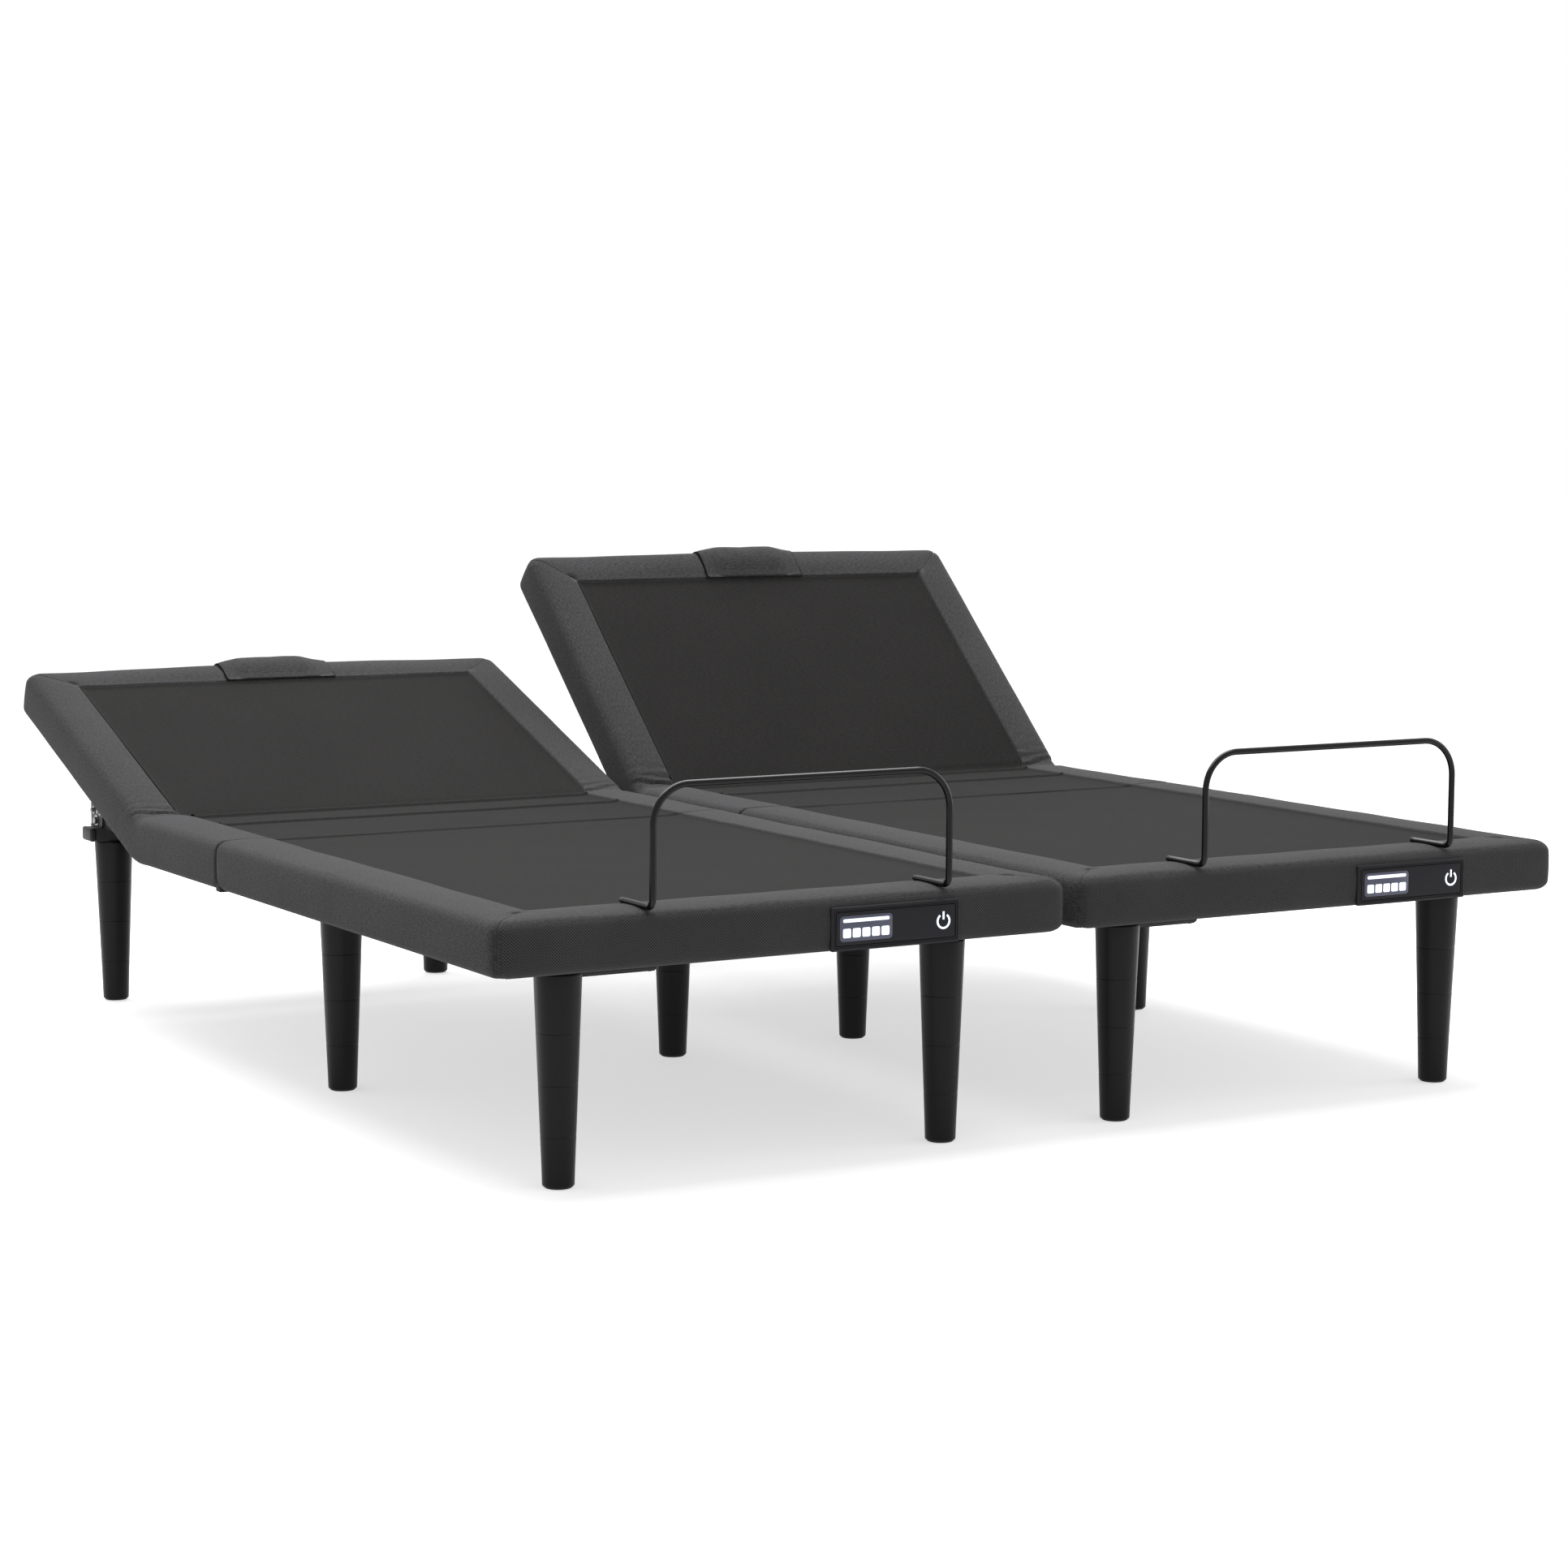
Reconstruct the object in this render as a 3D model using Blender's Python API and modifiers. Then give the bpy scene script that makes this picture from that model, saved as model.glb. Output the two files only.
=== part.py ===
"""Split adjustable bed base: two twin units side by side, each with a lifting head and a folding leg section.

Metres, +Z up, +X across the bed, +Y towards the head end. The origin lies on the floor, under the
middle of the whole base. Run it with: blender --background --python part.py

Every section is modelled flat and hangs on an empty on its own hinge axis, so the empty's rotation
is the angle that the section rests at.
"""

import math

import bmesh
import bpy

# Overall sizes of one unit
UNIT_WIDTH = 0.965
UNIT_GAP = 0.022
FOOT_Y = -1.020                    # where the foot end lies along Y
DECK_Z = 0.410                     # top of the upholstered border when flat
SEAT_START = 1.050                 # thigh hinge, measured from the foot end
HEAD_HINGE = 1.435                 # head hinge, measured from the foot end
KNEE = 0.620                       # knee hinge, measured from the foot end
HEAD_LENGTH = 0.622
HEAD_ANGLES = {"left": 20.3, "right": 42.7}

# Upholstered border
BORDER_HEIGHT = 0.082
SIDE_BORDER = 0.097                # border's visible width beside the seat and the legs
FOOT_BORDER = 0.100
HEAD_SIDE_BORDER = 0.082
HEAD_END_BORDER = 0.066
BORDER_WALL = 0.028
BORDER_LIP = 0.006
BORDER_ROUND = 0.022
ROUND_SEGMENTS = 3
HINGE_GAP = 0.004                  # each section stops this far from its hinge axis
SAME_PLACE = 0.002                 # points closer than this count as level with each other
CUT_PAST = 0.050                   # how far a cutter reaches past what it cuts
CUT_OVERLAP = 0.010                # how far the window's cutter reaches into the cavity

# Deck boards
BOARD_THICKNESS = 0.018
BOARD_BACK = 0.004                 # extra room between a board's end and the hinge
BOARD_SIDE_GAP = 0.0005
BOARD_END_GAP = 0.001
TOUCH_GAP = 0.0003                 # what touching pieces keep between them
EDGE_SOFTEN = 0.002
SMOOTH_ANGLE = 35.0
MERGE_DISTANCE = 0.00001

# Legs
LEG_TOP_RADIUS = 0.0355
LEG_FOOT_RADIUS = 0.0235
LEG_FOOT_ROUND = 0.003
LEG_STEPS = 24
LEG_ROWS = {                       # each row's place along the unit, reach to either side, and height
    "foot": (0.114, 0.3285, 0.316),
    "middle": (0.9375, 0.310, 0.305),
    "head": (1.965, 0.3325, 0.305),
}

# Steel frame
RAIL_X = 0.345
RAIL_WIDTH = 0.025
RAIL_ENDS = (0.075, 2.000)
RAIL_Z = (0.328, 0.365)
CROSSBAR_HEIGHT = 0.025
CROSSBAR_REACH = 0.375
CROSSBAR_WIDTH = 0.050
SPINE_Z = (0.306, 0.329)
SPINE_HALF = 0.015
OUTRIGGER_REACH = 0.150
OUTRIGGER_Z = (0.307, 0.328)
SEAT_TUBE_Y = (1.150, 1.330)
SEAT_TUBE_REACH = 0.420
SEAT_TUBE_HALF = 0.015
WELD_SINK = 0.002                  # how far one member reaches into another
END_PLATE_X = (0.3565, 0.3615)
END_PLATE_Y = (1.945, 2.006)
END_PLATE_Z = (0.308, 0.373)
EAR_THICKNESS = 0.005
EAR_GAP = 0.0085                   # from the middle of a pair of ears to either inner face
ACTUATOR_EAR_Z = (0.252, 0.309)
HEAD_EAR_HALF = 0.018
LEG_EAR_HALF = 0.013
LINK_EAR_Z = (0.326, 0.369)
LINK_EAR_HALF = 0.013

# Lift arms and their torque tubes
PIVOT_BACK = 0.045                 # torque tube's distance from its section's hinge
PIVOT_Z = 0.350
TUBE_RADIUS = 0.016
TUBE_HALF = 0.3315
ARM_X = 0.200
ARM_RADIUS = 0.011
HEAD_ARM_BEND = ((0.055, -0.040), (0.100, -0.043))
LEG_ARM_BEND = ((0.055, -0.009), (0.100, -0.012))
HEAD_ARM_LENGTH = 0.340
LEG_ARM_LENGTH = 0.300
ROLLER_RADIUS = 0.018
ROLLER_WIDTH = 0.030
HEAD_ARM_FLAT = 2.5                # the arm's angle when its section is flat
LEG_ARM_FLAT = 2.75
ARM_RATIO = 0.804                  # arm's turn for each degree of its section
HEAD_LIMIT = 65.0
LEG_LIMIT = 35.0
LEVER_LENGTH = 0.080
LEVER_END = 0.095
LEVER_WIDTH = 0.030

# Linear actuators
ACTUATOR_X = 0.120
ACTUATOR_Z = 0.274
HEAD_ACTUATOR_Y = 0.9375
LEG_ACTUATOR_Y = 1.635
LUG_HALF = 0.008
LUG = ((-LUG_HALF, -0.012, -0.012), (LUG_HALF, 0.030, 0.012))
GEARBOX = ((-0.030, 0.026, -0.034), (0.078, 0.085, 0.026))
GEARBOX_SOFTEN = 0.004
COLLAR = ((-0.024, 0.080, -0.024), (0.024, 0.120, 0.024))
MOTOR_RADIUS = 0.025
MOTOR_LENGTH = 0.120
MOTOR_CENTRE = (0.050, 0.140, -0.004)
ACTUATOR_SIDES = 20
ROD_RADIUS = 0.008
BORE_RADIUS = 0.0085
BORE_SPARE = 0.010
GUIDE_RADIUS = 0.018
GUIDE_START = 0.060
EYE_RADIUS = 0.013
GUIDE_SHORT = 0.065                # guide tube stops this far short of the nearest pin place
ROD_INSIDE = 0.170                 # how far the rod reaches into the guide tube when drawn in

# Foot link
LINK_Y = 0.600
LINK_Z = 0.352
LINK_LENGTH = 0.520
LINK_TILT = 0.9
LINK_RADIUS = 0.008
LINK_HUB = 0.014

# Mattress retainer
RETAINER_HALF = 0.250
RETAINER_Y = -0.005
RETAINER_TOP = 0.590
RETAINER_ROD = 0.005
RETAINER_CORNER = 0.058
CORNER_STEPS = 6
RETAINER_KNEE = 0.014
RETAINER_FOOT = 0.092
RETAINER_SHIFT = {"left": 0.012, "right": 0.0}
ROUND_BAR_DETAIL = 2

# Foot display
DISPLAY_X = 0.170
DISPLAY_Z = 0.362
BEZEL_SIZE = (0.224, 0.006, 0.065)
SCREEN_SIZE = (0.208, 0.0017, 0.050)
POCKET_DEPTH = 0.003

# Pod on the head end
POD_WIDTH = 0.217
POD_RISE = 0.0125
POD_OUT = 0.008
POD_DROP = 0.070
POD_ROUND = 0.008
POD_PAST = 0.001                   # how far the pod reaches past the border's inner edge
ARC_STEPS = 4

# Control box and joining bars
CONTROL_BOX = ((-0.300, 0.1393, 0.300), (-0.150, 0.300, 0.342))
CONTROL_SOFTEN = 0.003
JOINING_HALF = 0.200
JOINING_THICKNESS = 0.004
JOINING_Z = (0.307, 0.325)

COLLECTION = "adjustable_bed_base"


def clear_scene():
    for obj in list(bpy.data.objects):
        bpy.data.objects.remove(obj)


def new_collection(name):
    made = bpy.data.collections.new(name)
    bpy.context.scene.collection.children.link(made)
    return made


def new_material(name, colour, roughness, metallic):
    made = bpy.data.materials.new(name)
    made.use_nodes = True
    shader = made.node_tree.nodes["Principled BSDF"]
    shader.inputs["Base Color"].default_value = (*colour, 1.0)
    shader.inputs["Roughness"].default_value = roughness
    shader.inputs["Metallic"].default_value = metallic
    made.diffuse_color = (*colour, 1.0)
    return made


def empty(name, parent, location, rotation=(0.0, 0.0, 0.0)):
    made = bpy.data.objects.new(name, None)
    PARTS.objects.link(made)
    made.parent = parent
    made.location = location
    made.rotation_euler = rotation
    return made


def add_object(name, data, parent, material, location=(0.0, 0.0, 0.0), rotation=(0.0, 0.0, 0.0)):
    """Puts mesh or curve data in the parts collection, or in the cutters' when it has no material."""
    made = bpy.data.objects.new(name, data)
    made.parent = parent
    made.location = location
    made.rotation_euler = rotation
    if material is None:
        CUTTERS.objects.link(made)
        made.hide_render = True
        made.display_type = "WIRE"
    else:
        PARTS.objects.link(made)
        data.materials.append(material)
    return made


def smooth(mesh):
    mesh.shade_smooth()
    mesh.set_sharp_from_angle(angle=math.radians(SMOOTH_ANGLE))


def box(name, low, high, parent, material=None, rotation=(0.0, 0.0, 0.0), pivot=None):
    """A box between two corners. It turns about pivot, or about its own middle."""
    centre = [(a + b) / 2.0 for a, b in zip(low, high)]
    origin = centre if pivot is None else pivot
    shape = bmesh.new()
    bmesh.ops.create_cube(shape, size=1.0)
    bmesh.ops.scale(shape, vec=[b - a for a, b in zip(low, high)], verts=shape.verts)
    bmesh.ops.translate(shape, vec=[c - o for c, o in zip(centre, origin)], verts=shape.verts)
    mesh = bpy.data.meshes.new(name)
    shape.to_mesh(mesh)
    shape.free()
    return add_object(name, mesh, parent, material, origin, rotation)


def cylinder(name, radius, length, centre, parent, material=None, axis="X", sides=16):
    """A cylinder along X or Y with its middle at centre."""
    shape = bmesh.new()
    bmesh.ops.create_cone(
        shape, cap_ends=True, segments=sides, radius1=radius, radius2=radius, depth=length
    )
    mesh = bpy.data.meshes.new(name)
    shape.to_mesh(mesh)
    shape.free()
    smooth(mesh)
    turn = {"X": (0.0, math.pi / 2.0, 0.0), "Y": (math.pi / 2.0, 0.0, 0.0)}[axis]
    return add_object(name, mesh, parent, material, centre, turn)


def combine(obj, others, operation):
    for other in others:
        step = obj.modifiers.new(other.name, "BOOLEAN")
        step.operation = operation
        step.solver = "EXACT"
        step.object = other
    return obj


def soften(obj, width=EDGE_SOFTEN):
    bevel = obj.modifiers.new("soft_edges", "BEVEL")
    bevel.width = width
    bevel.segments = 1
    bevel.limit_method = "ANGLE"
    return obj


def round_edges(obj, chosen):
    """Rounds the edges whose two end points both pass the test chosen(point, point)."""
    mesh = obj.data
    weights = mesh.attributes.new("bevel_weight_edge", "FLOAT", "EDGE")
    for edge in mesh.edges:
        a, b = (mesh.vertices[i].co for i in edge.vertices)
        weights.data[edge.index].value = 1.0 if chosen(a, b) else 0.0
    bevel = obj.modifiers.new("rounding", "BEVEL")
    bevel.width = BORDER_ROUND
    bevel.segments = ROUND_SEGMENTS
    bevel.limit_method = "WEIGHT"
    return obj


def round_bar(name, points, radius):
    """Curve data for a round bar along a path, closed at both ends."""
    curve = bpy.data.curves.new(name, "CURVE")
    curve.dimensions = "3D"
    curve.bevel_depth = radius
    curve.bevel_resolution = ROUND_BAR_DETAIL
    curve.use_fill_caps = True
    spline = curve.splines.new("POLY")
    spline.points.add(len(points) - 1)
    for target, point in zip(spline.points, points):
        target.co = (*point, 1.0)
    return curve


def wire_mesh(name, points, radius, parent):
    """A round bar along a path, as a closed mesh that can be joined to others."""
    temporary = bpy.data.objects.new(name, round_bar(name, points, radius))
    PARTS.objects.link(temporary)
    depsgraph = bpy.context.evaluated_depsgraph_get()
    mesh = bpy.data.meshes.new_from_object(temporary.evaluated_get(depsgraph))
    bpy.data.objects.remove(temporary)
    shape = bmesh.new()
    shape.from_mesh(mesh)
    bmesh.ops.remove_doubles(shape, verts=shape.verts, dist=MERGE_DISTANCE)
    shape.to_mesh(mesh)
    shape.free()
    return add_object(name, mesh, parent, None)


def arc(centre, radius, start, end, steps=ARC_STEPS):
    """Points on a circle between two angles in degrees."""
    turn = (end - start) / steps
    angles = [math.radians(start + turn * i) for i in range(steps + 1)]
    return [(centre[0] + radius * math.cos(a), centre[1] + radius * math.sin(a)) for a in angles]


def leg(name, parent, x, y, height):
    """A tapered round leg, turned from its profile."""
    top = height - TOUCH_GAP
    profile = [(0.0, top), (LEG_TOP_RADIUS, top), (LEG_FOOT_RADIUS, LEG_FOOT_ROUND)]
    profile += [(LEG_FOOT_RADIUS - LEG_FOOT_ROUND, 0.0), (0.0, 0.0)]
    mesh = bpy.data.meshes.new(name)
    edges = [(i, i + 1) for i in range(len(profile) - 1)]
    mesh.from_pydata([(r, 0.0, z) for r, z in profile], edges, [])
    made = add_object(name, mesh, parent, LEG_PLASTIC, (x, y, 0.0))
    screw = made.modifiers.new("turned", "SCREW")
    screw.steps = LEG_STEPS
    screw.render_steps = LEG_STEPS
    screw.use_merge_vertices = True
    screw.merge_threshold = MERGE_DISTANCE
    screw.use_smooth_shade = False
    return made


def legs(side, unit):
    outward = -1.0 if side == "left" else 1.0
    for row, (y, reach, height) in LEG_ROWS.items():
        leg(f"{side}_leg_{row}_outer", unit, outward * reach, y, height)
        leg(f"{side}_leg_{row}_inner", unit, -outward * reach, y, height)


def ear_pair(x, y, z_low, z_high, half_width, parent):
    """Two upright plates that hold a lug between them."""
    plates = []
    for sign in (-1.0, 1.0):
        faces = sorted((x + sign * EAR_GAP, x + sign * (EAR_GAP + EAR_THICKNESS)))
        low = (faces[0], y - half_width, z_low)
        high = (faces[1], y + half_width, z_high)
        plates.append(box("ear", low, high, parent))
    return plates


def frame_members(unit):
    """Everything that is welded to the two long rails."""
    members = []
    for y, _, height in LEG_ROWS.values():
        low = (-CROSSBAR_REACH, y - CROSSBAR_WIDTH / 2.0, height)
        high = (CROSSBAR_REACH, y + CROSSBAR_WIDTH / 2.0, height + CROSSBAR_HEIGHT)
        members.append(box("crossbar", low, high, unit))
    low = (-RAIL_X, LINK_Y - SPINE_HALF, SPINE_Z[0])
    high = (RAIL_X, LINK_Y + SPINE_HALF, SPINE_Z[1])
    members.append(box("link_bar", low, high, unit))
    low = (-SPINE_HALF, LEG_ROWS["middle"][0], SPINE_Z[0])
    high = (SPINE_HALF, LEG_ROWS["head"][0], SPINE_Z[1])
    members.append(box("spine", low, high, unit))
    low = (-OUTRIGGER_REACH, LEG_ACTUATOR_Y - SPINE_HALF, OUTRIGGER_Z[0])
    high = (0.0, LEG_ACTUATOR_Y + SPINE_HALF, OUTRIGGER_Z[1])
    members.append(box("outrigger", low, high, unit))
    for y in SEAT_TUBE_Y:
        low = (-SEAT_TUBE_REACH, y - SEAT_TUBE_HALF, RAIL_Z[1] - WELD_SINK)
        high = (SEAT_TUBE_REACH, y + SEAT_TUBE_HALF, board_bottom() - TOUCH_GAP)
        members.append(box("seat_tube", low, high, unit))
    for sign in (-1.0, 1.0):
        faces = sorted(sign * x for x in END_PLATE_X)
        low = (faces[0], END_PLATE_Y[0], END_PLATE_Z[0])
        high = (faces[1], END_PLATE_Y[1], END_PLATE_Z[1])
        members.append(box("end_plate", low, high, unit))
    members += ear_pair(ACTUATOR_X, HEAD_ACTUATOR_Y, *ACTUATOR_EAR_Z, HEAD_EAR_HALF, unit)
    members += ear_pair(-ACTUATOR_X, LEG_ACTUATOR_Y, *ACTUATOR_EAR_Z, LEG_EAR_HALF, unit)
    members += ear_pair(0.0, LINK_Y, *LINK_EAR_Z, LINK_EAR_HALF, unit)
    return members


def base_frame(side, unit):
    """Welded steel frame: two long rails, crossbars on the legs, a spine and the brackets."""
    half = RAIL_WIDTH / 2.0
    low = (-RAIL_X - half, RAIL_ENDS[0], RAIL_Z[0])
    high = (-RAIL_X + half, RAIL_ENDS[1], RAIL_Z[1])
    made = box(f"{side}_base_frame", low, high, unit, FRAME_STEEL)
    low = (RAIL_X - half, RAIL_ENDS[0], RAIL_Z[0])
    high = (RAIL_X + half, RAIL_ENDS[1], RAIL_Z[1])
    return combine(made, [box("rail", low, high, unit)] + frame_members(unit), "UNION")


def board_bottom():
    return DECK_Z - BORDER_LIP - TOUCH_GAP - BOARD_THICKNESS


def board(name, parent, y_from, y_to, top_z):
    """A deck board that ends just inside the border's walls, under its lip."""
    half = UNIT_WIDTH / 2.0 - BORDER_WALL - BOARD_SIDE_GAP
    top = top_z - BORDER_LIP - TOUCH_GAP
    low = (-half, min(y_from, y_to), top - BOARD_THICKNESS)
    high = (half, max(y_from, y_to), top)
    return soften(box(name, low, high, parent, DECK_FABRIC))


def end_border(name, parent, hinge_y, far_y, top_z, side_width, end_width):
    """The U-shaped upholstered border round a head or foot section, open at its hinge end."""
    half = UNIT_WIDTH / 2.0
    inward = 1.0 if hinge_y > far_y else -1.0
    low = (-half, min(hinge_y, far_y), top_z - BORDER_HEIGHT)
    high = (half, max(hinge_y, far_y), top_z)
    made = box(name, low, high, parent, SIDE_FABRIC)
    hinge_end = inward * abs(hinge_y - far_y) / 2.0

    def away_from_hinge(a, b):
        return abs(a.y - hinge_end) > SAME_PLACE or abs(b.y - hinge_end) > SAME_PLACE

    round_edges(made, away_from_hinge)
    past_hinge = hinge_y + inward * CUT_PAST
    cavity_end = far_y + inward * BORDER_WALL
    low = (-half + BORDER_WALL, min(past_hinge, cavity_end), top_z - BORDER_HEIGHT - CUT_PAST)
    high = (half - BORDER_WALL, max(past_hinge, cavity_end), top_z - BORDER_LIP)
    cavity = box(f"{name}_cavity", low, high, parent)
    window_end = far_y + inward * end_width
    low = (-half + side_width, min(past_hinge, window_end), top_z - BORDER_LIP - CUT_OVERLAP)
    high = (half - side_width, max(past_hinge, window_end), top_z + CUT_PAST)
    window = box(f"{name}_window", low, high, parent)
    return combine(made, [cavity, window], "DIFFERENCE")


def side_border(name, parent, sign, y_from, y_to, top_z):
    """A straight upholstered side rail with an L section: outer wall and top lip."""
    half = UNIT_WIDTH / 2.0
    xs = sorted((sign * half, sign * (half - SIDE_BORDER)))
    low = (xs[0], y_from, top_z - BORDER_HEIGHT)
    high = (xs[1], y_to, top_z)
    made = box(name, low, high, parent, SIDE_FABRIC)

    def outer_and_long(a, b):
        return abs(a.x - b.x) < SAME_PLACE and abs(a.z - b.z) < SAME_PLACE and a.x * sign > 0.0

    round_edges(made, outer_and_long)
    xs = sorted((0.0, sign * (half - BORDER_WALL)))
    low = (xs[0], y_from - CUT_PAST, top_z - BORDER_HEIGHT - CUT_PAST)
    high = (xs[1], y_to + CUT_PAST, top_z - BORDER_LIP)
    return combine(made, [box(f"{name}_cavity", low, high, parent)], "DIFFERENCE")


def head_pod(name, parent):
    """The padded sleeve over the middle of the head end: an L-shaped outline, drawn out sideways."""
    end = HEAD_LENGTH
    outer = end + POD_OUT
    inner = end - HEAD_END_BORDER - POD_PAST
    points = [(inner, TOUCH_GAP), (end + TOUCH_GAP, TOUCH_GAP)]
    points += [(end + TOUCH_GAP, -POD_DROP), (outer, -POD_DROP)]
    points += arc((outer - POD_ROUND, POD_RISE - POD_ROUND), POD_ROUND, 0.0, 90.0)
    points += [(inner, POD_RISE)]
    curve = bpy.data.curves.new(name, "CURVE")
    curve.dimensions = "2D"
    curve.fill_mode = "BOTH"
    curve.extrude = POD_WIDTH / 2.0
    spline = curve.splines.new("POLY")
    spline.points.add(len(points) - 1)
    spline.use_cyclic_u = True
    for target, (along, up) in zip(spline.points, points):
        target.co = (along, up, 0.0, 1.0)
    return add_object(name, curve, parent, SIDE_FABRIC, rotation=(math.pi / 2.0, 0.0, math.pi / 2.0))


def lever_swing(flat, limit):
    """The arm's angle in degrees at the middle of its travel, where its lever hangs straight down."""
    return flat + ARM_RATIO * limit / 2.0


def lift_arm(name, pivot, length, bend, hang):
    """Torque tube with two bent arms, their rollers, and the lever that the actuator pushes."""
    made = cylinder(name, TUBE_RADIUS, 2.0 * TUBE_HALF, (0.0, 0.0, 0.0), pivot, FRAME_STEEL)
    members = []
    for x in (-ARM_X, ARM_X):
        path = [(x, y, z) for y, z in ((0.0, 0.0), *bend, (length, 0.0))]
        members.append(wire_mesh("arm", path, ARM_RADIUS, pivot))
        members.append(cylinder("roller", ROLLER_RADIUS, ROLLER_WIDTH, (x, length, 0.0), pivot))
    turn = (-math.radians(hang), 0.0, 0.0)
    for sign in (-1.0, 1.0):
        faces = sorted((ACTUATOR_X + sign * EAR_GAP, ACTUATOR_X + sign * (EAR_GAP + EAR_THICKNESS)))
        low = (faces[0], -LEVER_WIDTH / 2.0, -LEVER_END)
        high = (faces[1], LEVER_WIDTH / 2.0, 0.0)
        members.append(box("lever", low, high, pivot, None, turn, (0.0, 0.0, 0.0)))
    return combine(made, members, "UNION")


def actuator(name, mount, pin_nearest):
    """Gearbox, motor and guide tube. The mount's origin is the rear pin, and the rod runs along +Y."""
    guide_end = pin_nearest - GUIDE_SHORT
    made = soften(box(name, *GEARBOX, mount, ACTUATOR_PLASTIC), GEARBOX_SOFTEN)
    guide = (guide_end - GUIDE_START, (0.0, (GUIDE_START + guide_end) / 2.0, 0.0))
    members = [
        box("lug", *LUG, mount),
        box("collar", *COLLAR, mount),
        cylinder("motor", MOTOR_RADIUS, MOTOR_LENGTH, MOTOR_CENTRE, mount, axis="Y", sides=ACTUATOR_SIDES),
        cylinder("guide", GUIDE_RADIUS, *guide, mount, axis="Y", sides=ACTUATOR_SIDES),
    ]
    combine(made, members, "UNION")
    bore_from = guide_end - ROD_INSIDE - BORE_SPARE
    bore_to = guide_end + BORE_SPARE
    bore = (bore_to - bore_from, (0.0, (bore_from + bore_to) / 2.0, 0.0))
    return combine(made, [cylinder("bore", BORE_RADIUS, *bore, mount, axis="Y")], "DIFFERENCE")


def actuator_rod(name, mount, pin_nearest, drawn_out):
    """The rod with its eye. drawn_out is how far it has moved out from its shortest."""
    rod_from = pin_nearest - GUIDE_SHORT - ROD_INSIDE + drawn_out
    pin = pin_nearest + drawn_out
    length = pin - rod_from
    centre = (0.0, rod_from + length / 2.0, 0.0)
    made = cylinder(name, ROD_RADIUS, length, centre, mount, ROD_STEEL, axis="Y")
    eye = cylinder("eye", EYE_RADIUS, 2.0 * LUG_HALF, (0.0, pin, 0.0), mount)
    return combine(made, [eye], "UNION")


def lever_reach(turn_from_hanging):
    """How far along Y the lever's pin lies from the torque tube."""
    return LEVER_LENGTH * math.sin(math.radians(turn_from_hanging))


def head_lift(side, unit, angle):
    pivot_y = HEAD_HINGE - PIVOT_BACK
    arm_angle = HEAD_ARM_FLAT + ARM_RATIO * angle
    turn = (math.radians(arm_angle), 0.0, 0.0)
    pivot = empty(f"{side}_head_arm_axis", unit, (0.0, pivot_y, PIVOT_Z), turn)
    hang = lever_swing(HEAD_ARM_FLAT, HEAD_LIMIT)
    lift_arm(f"{side}_head_lift_arm", pivot, HEAD_ARM_LENGTH, HEAD_ARM_BEND, hang)
    mount = empty(f"{side}_head_actuator_axis", unit, (ACTUATOR_X, HEAD_ACTUATOR_Y, ACTUATOR_Z))
    nearest = pivot_y + lever_reach(HEAD_ARM_FLAT - hang) - HEAD_ACTUATOR_Y
    drawn_out = lever_reach(arm_angle - hang) - lever_reach(HEAD_ARM_FLAT - hang)
    actuator(f"{side}_head_actuator", mount, nearest)
    actuator_rod(f"{side}_head_actuator_rod", mount, nearest, drawn_out)


def leg_lift(side, unit):
    """The same lift, turned round to face the foot end."""
    pivot_y = SEAT_START + PIVOT_BACK
    turn = (math.radians(LEG_ARM_FLAT), 0.0, math.pi)
    pivot = empty(f"{side}_leg_arm_axis", unit, (0.0, pivot_y, PIVOT_Z), turn)
    hang = lever_swing(LEG_ARM_FLAT, LEG_LIMIT)
    lift_arm(f"{side}_leg_lift_arm", pivot, LEG_ARM_LENGTH, LEG_ARM_BEND, hang)
    place = (-ACTUATOR_X, LEG_ACTUATOR_Y, ACTUATOR_Z)
    mount = empty(f"{side}_leg_actuator_axis", unit, place, (0.0, 0.0, math.pi))
    nearest = LEG_ACTUATOR_Y - pivot_y + lever_reach(LEG_ARM_FLAT - hang)
    actuator(f"{side}_leg_actuator", mount, nearest)
    actuator_rod(f"{side}_leg_actuator_rod", mount, nearest, 0.0)


def foot_link(side, unit):
    """The bar that steers the foot section: hub on the frame, eye under the foot board."""
    turn = (math.radians(LINK_TILT), 0.0, math.pi)
    pivot = empty(f"{side}_foot_link_axis", unit, (0.0, LINK_Y, LINK_Z), turn)
    centre = (0.0, LINK_LENGTH / 2.0, 0.0)
    name = f"{side}_foot_link"
    made = cylinder(name, LINK_RADIUS, LINK_LENGTH, centre, pivot, FRAME_STEEL, axis="Y")
    hub = cylinder("hub", LINK_HUB, 2.0 * LUG_HALF, (0.0, 0.0, 0.0), pivot)
    eye = cylinder("eye", EYE_RADIUS, 2.0 * LUG_HALF, (0.0, LINK_LENGTH, 0.0), pivot)
    return combine(made, [hub, eye], "UNION")


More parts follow.
